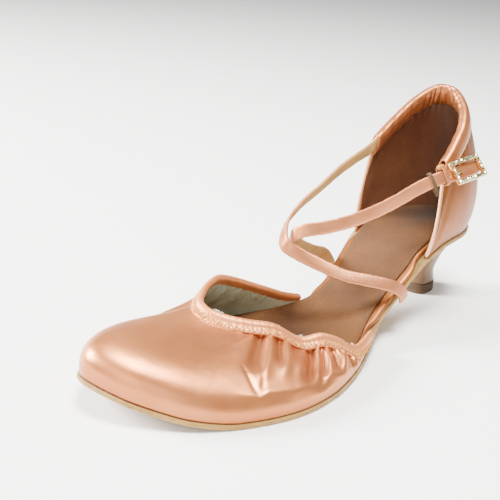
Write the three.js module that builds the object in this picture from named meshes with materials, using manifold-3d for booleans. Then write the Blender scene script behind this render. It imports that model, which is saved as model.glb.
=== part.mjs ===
// Ballroom dance shoe for the left foot: satin toe part and heel part on one suede sole, open waist,
// two straps crossed over the instep, low flared heel. Millimetres.
// +X points to the toe, +Y to the wearer's left (the outer side), +Z up.
// The origin is on the floor under the heel, on the heel tip's face.
import * as THREE from "three";
import { mergeVertices } from "three/addons/utils/BufferGeometryUtils.js";
import Module from "manifold-3d";

// Driving dimensions
const CONTACT_GAP = 0.3; // between pieces that touch on the real shoe
const SOLE_THICKNESS = 2.0;
const BOARD_THICKNESS = 2.6;
const SOCK_THICKNESS = 1.0;
const VAMP_WALL = 1.6;
const COUNTER_WALL = 2.0;
const BINDING_HEIGHT = 6.0; // the rolled elastic edge of the throat with its sewn foot
const BINDING_SHARE = 0.62; // and at most this share of a low wall
const BINDING_THICKNESS = 2.6;
const SLEEVE_HEIGHT = 9.8; // the folded collar that the long strap runs through
const SLEEVE_THICKNESS = 4.8;
const SLEEVE_WALL = 1.1;
const SLEEVE_STAND = 1.0; // how far it stands out of the counter's outer face
const STRAP_WIDTH = 5.7;
const STRAP_THICKNESS = 1.5;
const HIDDEN_STRAP_WIDTH = 5.2; // inside the sleeve
const TIP_THICKNESS = 5.0;
const BUCKLE_LENGTH = 22.0;
const BUCKLE_HEIGHT = 10.9;
const BUCKLE_RAIL = 2.0;
const BUCKLE_THICKNESS = 2.0;
const WIRE_RADIUS = 0.55;
const WIRE_BEND = 0.55;
const LOOP_WALL = 0.9;
const LOOP_THICKNESS = 5.4;
const STRAP_HOLE_RADIUS = 1.1;

// Steps of the lofts
const OUTLINE_STEPS = 40; // from toe tip to heel back, on each side
const PLATE_COLUMNS = 3; // across the sole
const VAMP_STEPS = 64;
const VAMP_LEVELS = 8;
const BINDING_LEVELS = 2;
const COUNTER_STEPS = 40;
const COUNTER_LEVELS = 8;
const STRAP_STEPS = 44;
const BUCKLE_STRAP_STEPS = 48;
const ROUND_CORNERS = 3; // facets of each rounded end of a sleeve or loop
const HEEL_LEVELS = 10;
const HEEL_SIDES = 24;
const TIP_SIDES = 20;
const WIRE_SIDES = 6;
const WIRE_STEPS = 16;
const HOLE_SIDES = 10;
const HIDDEN_STEPS = 21;

// The tread outline seen from above: half widths on the outer and inner side, and the height of the
// underside over the floor.
const TOE = { x: 199.5, y: 0.5, floor: 11.4 };
const HEEL_BACK = { x: -20, y: 3, floor: 34.5 };
const SOLE_ROWS = [
  { x: 194.5, outer: 15.4, inner: 9.5, floor: 8.8 },
  { x: 187, outer: 24.6, inner: 15.5, floor: 5.6 },
  { x: 176, outer: 35.0, inner: 20.8, floor: 2.1 },
  { x: 161, outer: 43.6, inner: 25.2, floor: 0 },
  { x: 141, outer: 49.8, inner: 27.2, floor: 0 },
  { x: 121, outer: 49.6, inner: 25.5, floor: 0 },
  { x: 101, outer: 44.1, inner: 20.5, floor: 0.9 },
  { x: 81, outer: 35.0, inner: 12.8, floor: 3.8 },
  { x: 65, outer: 27.7, inner: 9.8, floor: 9.6 },
  { x: 48, outer: 26.3, inner: 14.0, floor: 20.2 },
  { x: 33, outer: 26.0, inner: 18.2, floor: 29.2 },
  { x: 17, outer: 25.3, inner: 18.2, floor: 33.8 },
  { x: 2, outer: 22.9, inner: 16.0, floor: 34.5 },
  { x: -10.5, outer: 17.0, inner: 10.6, floor: 34.5 },
  { x: -17.5, outer: 10.0, inner: 3.6, floor: 34.5 },
];
const FLOOR_ROWS = [
  { x: TOE.x, floor: TOE.floor },
  ...SOLE_ROWS,
  { x: HEEL_BACK.x, floor: HEEL_BACK.floor },
];

// How far each layer stands in from the tread outline, under the vamp, at the open waist and
// under the counter.
const INSET_ROWS = [
  { x: 140, board: 3.1, sock: 4.2 },
  { x: 74.5, board: 3.4, sock: 4.6 },
  { x: 68, board: 0.7, sock: 4.0 },
  { x: 44, board: 0.7, sock: 4.0 },
  { x: 37, board: 3.4, sock: 4.8 },
  { x: -10, board: 3.4, sock: 4.8 },
];

// The vamp, a row for each section from the outer wing over the toe to the inner wing: where the
// section stands on the outline, the edge of the throat that it meets, how far its wall swells
// outwards and rises above the sole, how far and how steeply (in degrees) it runs down from the
// throat, and how high the gathered edge stands up.
const VAMP_ROWS = [
  { foot: 80, side: 1, x: 79.5, y: 33.8, z: 12.4, swell: 0.8, rise: 2.5, reach: 2.0, fall: 80, lip: 0.6 },
  { foot: 88, side: 1, x: 87.0, y: 36.6, z: 12.0, swell: 1.4, rise: 3.0, reach: 2.5, fall: 75, lip: 1.0 },
  { foot: 98, side: 1, x: 97.0, y: 38.4, z: 12.2, swell: 2.2, rise: 4.5, reach: 3.5, fall: 55, lip: 1.6 },
  { foot: 107, side: 1, x: 104.5, y: 35.2, z: 16.8, swell: 2.8, rise: 7.0, reach: 7.0, fall: 35, lip: 2.2 },
  { foot: 116, side: 1, x: 110.5, y: 31.6, z: 18.8, swell: 3.0, rise: 9.0, reach: 9.0, fall: 22, lip: 2.6 },
  { foot: 127, side: 1, x: 118.0, y: 28.0, z: 18.0, swell: 3.0, rise: 9.5, reach: 10.5, fall: 12, lip: 2.6 },
  { foot: 140, side: 1, x: 127.0, y: 21.6, z: 23.6, swell: 2.8, rise: 12.0, reach: 13, fall: 16, lip: 2.8 },
  { foot: 155, side: 1, x: 135.0, y: 16.0, z: 25.2, swell: 2.6, rise: 13.0, reach: 15, fall: 10, lip: 3.2 },
  { foot: 171, side: 1, x: 142.0, y: 9.5, z: 26.8, swell: 2.4, rise: 14.0, reach: 19, fall: 5, lip: 3.8 },
  { foot: 186, side: 1, x: 144.5, y: 4.5, z: 27.8, swell: 2.6, rise: 17.5, reach: 24, fall: 2, lip: 4.2 },
  { foot: 199, side: 0, x: 144.5, y: 0.0, z: 28.8, swell: 2.8, rise: 20.5, reach: 28, fall: 2, lip: 4.4 },
  { foot: 190, side: -1, x: 142.5, y: -3.5, z: 29.4, swell: 2.4, rise: 21.5, reach: 24, fall: 6, lip: 4.4 },
  { foot: 177, side: -1, x: 138.5, y: -7.0, z: 30.2, swell: 1.6, rise: 16.5, reach: 18, fall: 22, lip: 4.0 },
  { foot: 162, side: -1, x: 133.0, y: -10.4, z: 31.0, swell: 1.0, rise: 10.5, reach: 13, fall: 44, lip: 3.2 },
  { foot: 146, side: -1, x: 125.5, y: -13.0, z: 31.4, swell: 0.8, rise: 7.5, reach: 11, fall: 62, lip: 2.4 },
  { foot: 130, side: -1, x: 116.0, y: -14.4, z: 28.0, swell: 0.8, rise: 8.0, reach: 10, fall: 66, lip: 2.0 },
  { foot: 113, side: -1, x: 105.5, y: -14.8, z: 23.2, swell: 0.8, rise: 7.0, reach: 8, fall: 70, lip: 1.6 },
  { foot: 98, side: -1, x: 95.0, y: -14.2, z: 18.4, swell: 0.8, rise: 5.5, reach: 5, fall: 72, lip: 1.2 },
  { foot: 86, side: -1, x: 85.5, y: -12.4, z: 14.2, swell: 0.6, rise: 3.5, reach: 3, fall: 75, lip: 0.8 },
  { foot: 76, side: -1, x: 76.0, y: -10.3, z: 11.4, swell: 0.4, rise: 1.8, reach: 1.6, fall: 80, lip: 0.4 },
];

// The counter, a row for each section from the inner front edge round the back to the outer front
// edge: where it stands on the outline, where it ends at the collar, and how far the wall swells
// outwards low down and near the collar.
const COUNTER_ROWS = [
  { foot: 34, side: -1, x: 24.5, y: -19.4, z: 77.4, swell: 2.0, tuck: 1.5 },
  { foot: 19, side: -1, x: 15.0, y: -17.4, z: 86.0, swell: 3.5, tuck: 2.4 },
  { foot: 4, side: -1, x: 4.0, y: -14.2, z: 95.3, swell: 4.5, tuck: 3.2 },
  { foot: -10, side: -1, x: -5.4, y: -9.0, z: 101.1, swell: 5.7, tuck: 5.6 },
  { foot: -20, side: 0, x: -8.6, y: -1.6, z: 101.0, swell: 7.0, tuck: 7.8 },
  { foot: -10, side: 1, x: -4.2, y: 7.5, z: 96.6, swell: 7.3, tuck: 8.8 },
  { foot: 4, side: 1, x: 4.3, y: 15.0, z: 90.0, swell: 5.4, tuck: 5.6 },
  { foot: 19, side: 1, x: 14.1, y: 18.5, z: 81.5, swell: 4.9, tuck: 3.1 },
  { foot: 34, side: 1, x: 22.8, y: 20.1, z: 74.0, swell: 4.8, tuck: 1.8 },
];

// The heel block and its tip: front, back and half width of each section, from the floor up.
const HEEL_CENTRE_Y = -0.8;
const TIP_ROWS = [
  { z: 0, front: 9.2, back: -9.4, half: 9.0, shift: 0 },
  { z: TIP_THICKNESS, front: 9.0, back: -9.2, half: 8.7, shift: 0 },
];
const HEEL_ROWS = [
  { level: 0, front: 8.7, back: -9.0, half: 8.4, shift: 0 },
  { level: 0.2, front: 7.4, back: -8.2, half: 7.4, shift: 0.3 },
  { level: 0.42, front: 7.6, back: -9.4, half: 8.2, shift: 1.2 },
  { level: 0.62, front: 10.4, back: -11.6, half: 10.2, shift: 2.0 },
  { level: 0.82, front: 18.5, back: -14.4, half: 14.2, shift: 3.0 },
  { level: 1, front: 31.0, back: -17.2, half: 18.0, shift: 4.2 },
];

// Routes of the straps, with the direction in which the outer face looks at each point.
const LONG_STRAP_ROUTE = [
  { x: 51.5, y: 27.9, z: 16.4, faceX: 0, faceY: 1, faceZ: 0.05 },
  { x: 54.0, y: 28.3, z: 20.2, faceX: 0.05, faceY: 1, faceZ: 0.2 },
  { x: 58.5, y: 27.0, z: 23.6, faceX: 0.25, faceY: 0.8, faceZ: 0.55 },
  { x: 67.0, y: 23.0, z: 26.6, faceX: 0.4, faceY: 0.65, faceZ: 0.65 },
  { x: 80.0, y: 16.0, z: 30.2, faceX: 0.5, faceY: 0.5, faceZ: 0.7 },
  { x: 88.0, y: 9.5, z: 34.4, faceX: 0.6, faceY: 0.4, faceZ: 0.65 },
  { x: 95.0, y: 3.5, z: 38.6, faceX: 0.75, faceY: 0.25, faceZ: 0.6 },
  { x: 99.2, y: -1.8, z: 42.6, faceX: 0.85, faceY: -0.15, faceZ: 0.45 },
  { x: 95.0, y: -6.3, z: 48.2, faceX: 0.65, faceY: -0.65, faceZ: 0.35 },
  { x: 84.0, y: -9.5, z: 54.2, faceX: 0.4, faceY: -0.85, faceZ: 0.35 },
  { x: 68.0, y: -12.5, z: 59.2, faceX: 0.3, faceY: -0.9, faceZ: 0.3 },
  { x: 51.0, y: -15.6, z: 64.8, faceX: 0.2, faceY: -0.95, faceZ: 0.2 },
  { x: 36.5, y: -15.8, z: 70.2, faceX: 0.15, faceY: -1, faceZ: 0.15 },
];
const BUCKLE_STRAP_ROUTE = [
  { x: 50.5, y: -15.0, z: 16.8, faceX: 0, faceY: -1, faceZ: 0.05 },
  { x: 53.5, y: -15.4, z: 21.6, faceX: 0.1, faceY: -1, faceZ: 0.15 },
  { x: 60.0, y: -13.8, z: 26.6, faceX: 0.35, faceY: -0.8, faceZ: 0.45 },
  { x: 72.0, y: -10.8, z: 31.6, faceX: 0.5, faceY: -0.65, faceZ: 0.6 },
  { x: 85.5, y: -7.0, z: 38.4, faceX: 0.65, faceY: -0.4, faceZ: 0.6 },
  { x: 94.5, y: -2.5, z: 44.8, faceX: 0.8, faceY: -0.05, faceZ: 0.5 },
  { x: 93.5, y: 2.5, z: 48.6, faceX: 0.7, faceY: 0.55, faceZ: 0.4 },
  { x: 85.0, y: 6.5, z: 49.6, faceX: 0.45, faceY: 0.8, faceZ: 0.35 },
  { x: 74.5, y: 10.4, z: 51.4, faceX: 0.35, faceY: 0.9, faceZ: 0.3 },
  { x: 63.0, y: 14.6, z: 55.0, faceX: 0.3, faceY: 0.9, faceZ: 0.3 },
  { x: 53.5, y: 18.4, z: 59.4, faceX: 0.2, faceY: 0.95, faceZ: 0.3 },
  { x: 43.5, y: 22.2, z: 64.8, faceX: 0.2, faceY: 0.9, faceZ: 0.4 },
  { x: 34.5, y: 26.6, z: 69.0, faceX: 0.1, faceY: 0.85, faceZ: 0.55 },
];

// The buckle: its middle, the way of its long side and of its outward face.
const BUCKLE_MIDDLE = new THREE.Vector3(14.9, 27.1, 70.5);
const BUCKLE_LONG = new THREE.Vector3(-1, -0.02, 0.06).normalize();
const BUCKLE_FACE = new THREE.Vector3(0.03, 0.77, 0.64).normalize();
const STRAP_UNDER_BUCKLE = 2.05; // from the buckle's middle plane in to the strap's
const STRAP_END = 9.0; // past the buckle's middle
const PRONG_HOLE = -3.6; // the prong's hole, along the buckle from its middle
const BAR_PLACE = 0.6;

// The elastic loops that stand round the buckle strap: where, how high, and how far each hangs down.
const LOOPS = [
  { name: "keeper_loop", x: 38.6, height: 11.0, drop: 1.1, length: 2.6 },
  { name: "sleeve_loop", x: 32.2, height: 10.2, drop: -0.6, length: 3.2 },
];

// Smooth curve through one column of a table, without overshoot (monotone cubic).
function column(rows, along, key) {
  const knots = rows.map((row) => [row[along], row[key]]).sort((a, b) => a[0] - b[0]);
  const last = knots.length - 1;
  const slope = (i) => (knots[i + 1][1] - knots[i][1]) / (knots[i + 1][0] - knots[i][0]);
  const tangent = (i) => {
    if (i === 0) return slope(0);
    if (i === last) return slope(last - 1);
    const before = slope(i - 1);
    const after = slope(i);
    return before * after <= 0 ? 0 : (2 * before * after) / (before + after);
  };
  return (value) => {
    if (value <= knots[0][0]) return knots[0][1];
    if (value >= knots[last][0]) return knots[last][1];
    const i = knots.findIndex((knot, n) => n < last && value < knots[n + 1][0]);
    const width = knots[i + 1][0] - knots[i][0];
    const t = (value - knots[i][0]) / width;
    const rise = t * t * (3 - 2 * t);
    const start = t * (1 - t) * (1 - t) * width * tangent(i);
    const end = t * t * (t - 1) * width * tangent(i + 1);
    return knots[i][1] * (1 - rise) + knots[i + 1][1] * rise + start + end;
  };
}

const floorAt = column(FLOOR_ROWS, "x", "floor");
const boardInset = column(INSET_ROWS, "x", "board");
const sockInset = column(INSET_ROWS, "x", "sock");
const soleTop = (x) => floorAt(x) + SOLE_THICKNESS;
const boardTop = (x) => soleTop(x) + CONTACT_GAP + BOARD_THICKNESS;

// The tread outline as one closed curve. A place on it is a number: 0 at the toe tip, positive
// along the outer side to 0.5 at the heel back, negative along the inner side.
const outline = new THREE.CatmullRomCurve3(
  [
    new THREE.Vector3(TOE.x, TOE.y, 0),
    ...SOLE_ROWS.map((row) => new THREE.Vector3(row.x, row.outer, 0)),
    new THREE.Vector3(HEEL_BACK.x, HEEL_BACK.y, 0),
    ...[...SOLE_ROWS].reverse().map((row) => new THREE.Vector3(row.x, -row.inner, 0)),
  ],
  true,
  "centripetal",
);

// A point of the outline moved inwards by inset.
function outlinePoint(place, inset = 0) {
  const u = (place + 1) % 1;
  const step = 1e-4;
  const point = outline.getPoint(u);
  const ahead = outline.getPoint((u + step) % 1);
  const behind = outline.getPoint((u + 1 - step) % 1);
  const along = ahead.sub(behind).normalize();
  return new THREE.Vector3(point.x - along.y * inset, point.y + along.x * inset, 0);
}

// The place on one side of the outline at a given x: 1 is the outer side, -1 the inner one, and 0
// a tip.
function placeAt(x, side) {
  if (side === 0) return x > 0 ? 0 : 0.5;
  let near = 0;
  let far = 0.5;
  for (let i = 0; i < 40; i += 1) {
    const middle = (near + far) / 2;
    if (outline.getPoint((side * middle + 1) % 1).x > x) near = middle;
    else far = middle;
  }
  return side * near;
}

// Closed solid through a list of sections of equal point count. The ends are closed by strips
// between a section's first half and its second half, unless the sections run in a ring.
function loft(sections, ring = false) {
  const count = sections[0].length;
  const corners = sections.flat();
  const triangles = [];
  const quad = (a, b, c, d) => triangles.push([a, b, c], [a, c, d]);
  const spans = ring ? sections.length : sections.length - 1;
  for (let i = 0; i < spans; i += 1) {
    const here = i * count;
    const next = ((i + 1) % sections.length) * count;
    for (let j = 0; j < count; j += 1) {
      const k = (j + 1) % count;
      quad(here + j, here + k, next + k, next + j);
    }
  }
  if (!ring) {
    const end = (sections.length - 1) * count;
    for (let j = 0; j < count / 2 - 1; j += 1) {
      const mirror = count - 1 - j;
      quad(j, mirror, mirror - 1, j + 1);
      quad(end + j, end + j + 1, end + mirror - 1, end + mirror);
    }
  }
  return solidGeometry(corners, triangles);
}

const wasm = await Module();
wasm.setup();

// A geometry as a solid for a boolean cut, and back.
function toSolid(geometry) {
  const bare = geometry.clone();
  bare.deleteAttribute("normal");
  bare.deleteAttribute("uv");
  const merged = mergeVertices(bare, 1e-3);
  return new wasm.Manifold(
    new wasm.Mesh({
      numProp: 3,
      vertProperties: merged.getAttribute("position").array,
      triVerts: new Uint32Array(merged.index.array),
    }),
  );
}

function fromSolid(solid) {
  const mesh = solid.getMesh();
  const geometry = new THREE.BufferGeometry();
  geometry.setAttribute("position", new THREE.BufferAttribute(mesh.vertProperties, 3));
  geometry.setIndex(new THREE.BufferAttribute(mesh.triVerts, 1));
  geometry.computeVertexNormals();
  return geometry;
}

// Merges equal corners, drops collapsed triangles and turns the faces outwards.
function solidGeometry(corners, triangles) {
  const raw = new THREE.BufferGeometry();
  const numbers = corners.flatMap((point) => point.toArray());
  raw.setAttribute("position", new THREE.Float32BufferAttribute(numbers, 3));
  raw.setIndex(triangles.flat());
  const merged = mergeVertices(raw, 2e-3);
  const index = [];
  const position = merged.getAttribute("position");
  const at = (i) => new THREE.Vector3().fromBufferAttribute(position, i);
  let volume = 0;
  for (let i = 0; i < merged.index.count; i += 3) {
    const [a, b, c] = [0, 1, 2].map((n) => merged.index.getX(i + n));
    if (a === b || b === c || c === a) continue;
    index.push([a, b, c]);
    volume += at(a).dot(at(b).cross(at(c)));
  }
  merged.setIndex((volume < 0 ? index.map(([a, b, c]) => [a, c, b]) : index).flat());
  merged.computeVertexNormals();
  return merged;
}

// A sole layer: the outline moved inwards, between two heights, with a rim of the given profile
// (how far each of its rings stands in from the edge, and how high it lies from 0 to 1).
function plate(inset, bottom, top, rim) {
  const sections = [];
  for (let i = 0; i <= OUTLINE_STEPS; i += 1) {
    const place = (0.5 * i) / OUTLINE_STEPS;
    const near = outlinePoint(place);
    const layerPoint = (side, ring) => {
      const point = outlinePoint(side * place, inset(near.x) + ring.in);
      if (i === 0 || i === OUTLINE_STEPS) point.y = i === 0 ? TOE.y : HEEL_BACK.y;
      point.z = THREE.MathUtils.lerp(bottom(point.x), top(point.x), ring.up);
      return point;
    };
    const across = (ring, direction) => {
      const from = layerPoint(direction, ring);
      const to = layerPoint(-direction, ring);
      return Array.from({ length: PLATE_COLUMNS + 1 }, (_, n) => {
        const point = from.clone().lerp(to, n / PLATE_COLUMNS);
        point.z = THREE.MathUtils.lerp(bottom(point.x), top(point.x), ring.up);
        return point;
      });
    };
    const between = rim.slice(1, -1);
    const half = (PLATE_COLUMNS + 1) / 2;
    const underside = across(rim[0], 1);
    sections.push([
      ...underside.slice(half),
      ...between.map((ring) => layerPoint(-1, ring)),
      ...across(rim[rim.length - 1], -1),
      ...[...between].reverse().map((ring) => layerPoint(1, ring)),
      ...underside.slice(0, half),
    ]);
  }
  return loft(sections);
}

const SQUARE_RIM = [
  { in: 0.5, up: 0 },
  { in: 0, up: 0.25 },
  { in: 0, up: 0.8 },
  { in: 0.3, up: 1 },
];
const ROUND_RIM = [
  { in: 1.2, up: 0 },
  { in: 0.2, up: 0.25 },
  { in: 0, up: 0.55 },
  { in: 0.5, up: 0.88 },
  { in: 1.5, up: 1 },
];
const THIN_RIM = [
  { in: 0, up: 0 },
  { in: 0, up: 0.5 },
  { in: 0.4, up: 1 },
];

const outsoleGeometry = () => plate(() => 0, floorAt, soleTop, SQUARE_RIM);
const boardGeometry = () => plate(boardInset, (x) => soleTop(x) + CONTACT_GAP, boardTop, ROUND_RIM);
const sockBottom = (x) => boardTop(x) + CONTACT_GAP;
const sockGeometry = () => plate(sockInset, sockBottom, (x) => sockBottom(x) + SOCK_THICKNESS, THIN_RIM);

// A curve through rows that give x, y and z.
function curveThrough(rows) {
  const knots = rows.map(({ x, y, z }) => new THREE.Vector3(x, y, z));
  return new THREE.CatmullRomCurve3(knots, false, "centripetal");
}

// A table whose rows stand along the outline: each column by how far along the table it is asked.
function sectionTable(rows, wrapHeel) {
  const placed = rows.map((row, n) => {
    let place = placeAt(row.foot, row.side);
    if (wrapHeel && place < 0) place += 1;
    return { ...row, along: n / (rows.length - 1), place };
  });
  const names = Object.keys(placed[0]).filter((name) => name !== "along" && name !== "side");
  const columns = Object.fromEntries(names.map((name) => [name, column(placed, "along", name)]));
  return { columns, path: curveThrough(placed) };
}

// A point of a cubic Bezier curve.
function bezier(corners, s) {
  const r = 1 - s;
  const weights = [r * r * r, 3 * r * r * s, 3 * r * s * s, s * s * s];
  return corners.reduce((sum, corner, n) => sum.addScaledVector(corner, weights[n]), new THREE.Vector3());
}

// Outward direction of the outline at a place, level with the floor.
function outwards(place) {
  const edge = outlinePoint(place);
  return edge.sub(outlinePoint(place, 1)).setZ(0).normalize();
}

const vampTable = sectionTable(VAMP_ROWS, false);
const counterTable = sectionTable(COUNTER_ROWS, true);
const UPPER_INSET = 0.7; // the sole stands out under the upper by this much

const LIP_REACH = 6.0; // how far down from the throat's edge the gathered lip begins

// Outer face of the vamp: t runs from the outer wing over the toe to the inner wing, s from the
// sole up to the throat.
function vampPoint(t, s) {
  const value = (name) => vampTable.columns[name](t);
  const place = value("place");
  const foot = outlinePoint(place, UPPER_INSET);
  foot.z = soleTop(foot.x) + CONTACT_GAP;
  const lip = value("lip");
  const throat = vampTable.path.getPoint(t);
  throat.z -= lip;
  const out = outwards(place);
  const fall = THREE.MathUtils.degToRad(value("fall"));
  const down = foot.clone().sub(throat).setZ(0);
  if (down.lengthSq() < 1) down.copy(out);
  down.normalize().multiplyScalar(Math.cos(fall)).setZ(-Math.sin(fall));
  const lower = foot.clone().addScaledVector(out, value("swell"));
  lower.z += value("rise");
  const upper = throat.clone().addScaledVector(down, value("reach"));
  const point = bezier([foot, lower, upper, throat], s);
  const edge = Math.max(0, 1 - point.distanceTo(throat) / LIP_REACH);
  point.z += lip * edge * edge;
  return point;
}

const COUNTER_LOW = 0.3; // where the low swell sits between sole and collar
const COUNTER_UPRIGHT = 0.35; // how much of the way in towards the collar it has gone there
const COLLAR_DEPTH = 0.34; // where the high swell sits, down from the collar
const COLLAR_BACK = 0.12; // and how far it stays back towards the foot

// Outer face of the counter: t runs from the inner front edge round the heel to the outer front
// edge, s from the sole up to the top of the collar.
function counterPoint(t, s) {
  const value = (name) => counterTable.columns[name](t);
  const place = value("place");
  const foot = outlinePoint(place, UPPER_INSET);
  foot.z = soleTop(foot.x) + CONTACT_GAP;
  const collar = counterTable.path.getPoint(t);
  const out = outwards(place);
  const rise = collar.z - foot.z;
  const lower = foot.clone().lerp(collar, COUNTER_LOW);
  lower.x = THREE.MathUtils.lerp(foot.x, lower.x, COUNTER_UPRIGHT);
  lower.y = THREE.MathUtils.lerp(foot.y, lower.y, COUNTER_UPRIGHT);
  lower.addScaledVector(out, value("swell"));
  const upper = collar.clone().addScaledVector(out, value("tuck"));
  upper.z -= COLLAR_DEPTH * rise;
  upper.x = THREE.MathUtils.lerp(upper.x, foot.x, COLLAR_BACK);
  return bezier([foot, lower, upper, collar], s);
}

// The outward normal of a surface given as a function of t and s.
function surfaceNormal(surface, t, s) {
  const step = 2e-3;
  const [t0, t1] = [Math.max(t - step, 0), Math.min(t + step, 1)];
  const [s0, s1] = [Math.max(s - step, 0), Math.min(s + step, 1)];
  const along = surface(t1, s).sub(surface(t0, s));
  const up = surface(t, s1).sub(surface(t, s0));
  return up.cross(along).normalize();
}

// A wall between two depths under a surface, from level start to level end at each station.
function wall(surface, steps, levels, start, end, outerDepth, innerDepth) {
  const sections = [];
  for (let i = 0; i <= steps; i += 1) {
    const t = i / steps;
    const outer = [];
    const inner = [];
    for (let j = 0; j <= levels; j += 1) {
      const share = j / levels;
      const s = THREE.MathUtils.lerp(start(t), end(t), share);
      const point = surface(t, s);
      const normal = surfaceNormal(surface, t, s);
      outer.push(point.clone().addScaledVector(normal, -outerDepth(share)));
      inner.push(point.clone().addScaledVector(normal, -innerDepth(share)));
    }
    sections.push([...outer, ...inner.reverse()]);
  }
  return loft(sections);
}

// The level at which a surface's edge lies a given length below its top.
function levelBelow(surface, t, length) {
  const top = surface(t, 1);
  let low = 0;
  let high = 1;
  for (let i = 0; i < 24; i += 1) {
    const middle = (low + high) / 2;
    if (surface(t, middle).distanceTo(top) > length) low = middle;
    else high = middle;
  }
  return high;
}

function bindingHeight(t) {
  const wallHeight = vampPoint(t, 0).distanceTo(vampPoint(t, 1));
  return Math.min(BINDING_HEIGHT, BINDING_SHARE * wallHeight);
}
const bindingFoot = (t) => levelBelow(vampPoint, t, bindingHeight(t));
const vampTop = (t) => levelBelow(vampPoint, t, bindingHeight(t) + 2 * CONTACT_GAP);
const vampGeometry = () =>
  wall(vampPoint, VAMP_STEPS, VAMP_LEVELS, () => 0, vampTop, () => 0, () => VAMP_WALL);

// The binding is a rolled edge: thickest in its middle, and flush with the vamp's wall at its foot.
const BINDING_STAND = 0.6; // how far it stands out of the vamp's outer face
const roll = (share) => Math.sin(Math.PI * (0.2 + 0.6 * share));
const bindingGeometry = () =>
  wall(
    vampPoint,
    VAMP_STEPS,
    BINDING_LEVELS,
    bindingFoot,
    () => 1,
    (share) => -BINDING_STAND * roll(share),
    (share) => (BINDING_THICKNESS - BINDING_STAND) * roll(share),
  );

const counterTopLevel = (t) => levelBelow(counterPoint, t, SLEEVE_HEIGHT + 2 * CONTACT_GAP);
const counterGeometry = () =>
  wall(counterPoint, COUNTER_STEPS, COUNTER_LEVELS, () => 0, counterTopLevel, () => 0, () => COUNTER_WALL);

// Middle of the collar sleeve's section and its own axes at t.
function sleeveFrame(t) {
  const level = levelBelow(counterPoint, t, SLEEVE_HEIGHT / 2);
  const outward = surfaceNormal(counterPoint, t, level);
  const top = counterPoint(t, 1);
  const up = top.clone().sub(counterPoint(t, level));
  up.addScaledVector(outward, -up.dot(outward)).normalize();
  const middle = counterPoint(t, level).addScaledVector(outward, SLEEVE_STAND - SLEEVE_THICKNESS / 2);
  return { middle, up, outward };
}

// A rounded oblong section in a frame's own axes, starting at its top and running outwards.
function oblong(frame, height, thickness) {
  const radius = thickness / 2;
  const straight = height / 2 - radius;
  const points = [];
  for (const end of [1, -1]) {
    for (let n = 0; n <= ROUND_CORNERS; n += 1) {
      const angle = (n / ROUND_CORNERS) * Math.PI - Math.PI / 2;
      const across = Math.sin(angle) * radius * end;
      const rise = (Math.cos(angle) * radius + straight) * end;
      const point = frame.middle.clone().addScaledVector(frame.outward, across);
      points.push(point.addScaledVector(frame.up, rise));
    }
  }
  return points;
}

// A hollow band along frames, open at both ends: an oblong outside with an oblong way through.
function hollowBand(frames, height, thickness, wallThickness) {
  const outer = frames.map((frame) => oblong(frame, height, thickness));
  const walls = 2 * wallThickness;
  const inner = frames.map((frame) => oblong(frame, height - walls, thickness - walls));
  const strips = outer[0].map((_, j) => [
    ...outer.map((section) => section[j]),
    ...[...inner].reverse().map((section) => section[j]),
  ]);
  return loft(strips, true);
}

// The collar sleeve along the counter's top edge, open at both mouths.
function sleeveGeometry() {
  const frames = Array.from({ length: COUNTER_STEPS + 1 }, (_, i) => sleeveFrame(i / COUNTER_STEPS));
  return hollowBand(frames, SLEEVE_HEIGHT, SLEEVE_THICKNESS, SLEEVE_WALL);
}

const STRAP_BEVEL = 0.35;
const STRAP_EDGE = 0.45; // thickness left at the very edge, as a share

// A strap: a flat band along frames, each with the width at that place.
function bandGeometry(frames) {
  const sections = frames.map(({ middle, up, outward, width }) => {
    const corner = (side, out, inset, share) =>
      middle
        .clone()
        .addScaledVector(up, side * (width / 2 - inset))
        .addScaledVector(outward, (out * share * STRAP_THICKNESS) / 2);
    return [
      corner(1, -1, STRAP_BEVEL, 1),
      corner(1, -1, 0, STRAP_EDGE),
      corner(1, 1, 0, STRAP_EDGE),
      corner(1, 1, STRAP_BEVEL, 1),
      corner(-1, 1, STRAP_BEVEL, 1),
      corner(-1, 1, 0, STRAP_EDGE),
      corner(-1, -1, 0, STRAP_EDGE),
      corner(-1, -1, STRAP_BEVEL, 1),
    ];
  });
  return loft(sections);
}

// Frames along a route: the middle, the face direction made square to the route, and the width.
function routeFrames(route, steps) {
  const path = curveThrough(route);
  const directions = route.map((row) => new THREE.Vector3(row.faceX, row.faceY, row.faceZ));
  const faces = new THREE.CatmullRomCurve3(directions, false, "catmullrom", 0.5);
  return Array.from({ length: steps + 1 }, (_, i) => {
    const u = i / steps;
    const along = path.getTangent(u);
    const outward = faces.getPoint(u);
    outward.addScaledVector(along, -outward.dot(along)).normalize();
    return {
      middle: path.getPoint(u),
      outward,
      up: along.clone().cross(outward).normalize(),
      width: STRAP_WIDTH,
    };
  });
}

const HIDDEN_FROM = 0.015; // along the sleeve, just inside its inner mouth
const HIDDEN_TO = 0.96; // just inside its outer mouth
const MOUTH_RUN = 2.5; // of straight strap before it enters

// The long strap: from the outer waist over the instep to the inner mouth of the sleeve, and
// through the sleeve to just short of its outer mouth.
function longStrapGeometry() {
  const hidden = Array.from({ length: HIDDEN_STEPS + 1 }, (_, i) => {
    const t = THREE.MathUtils.lerp(HIDDEN_FROM, HIDDEN_TO, i / HIDDEN_STEPS);
    return { ...sleeveFrame(t), width: HIDDEN_STRAP_WIDTH };
  });
  const mouth = sleeveFrame(0);
  const straight = mouth.middle.clone().sub(sleeveFrame(HIDDEN_FROM).middle).setLength(MOUTH_RUN);
  const entry = { ...mouth, middle: mouth.middle.clone().add(straight), width: HIDDEN_STRAP_WIDTH };
  return bandGeometry([...routeFrames(LONG_STRAP_ROUTE, STRAP_STEPS), entry, ...hidden]);
}

const BREAST_DEPTH = 0.88; // of the half width, in front of a section's widest place
const BREAST_FLATNESS = 0.45; // 1 would be round

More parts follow.
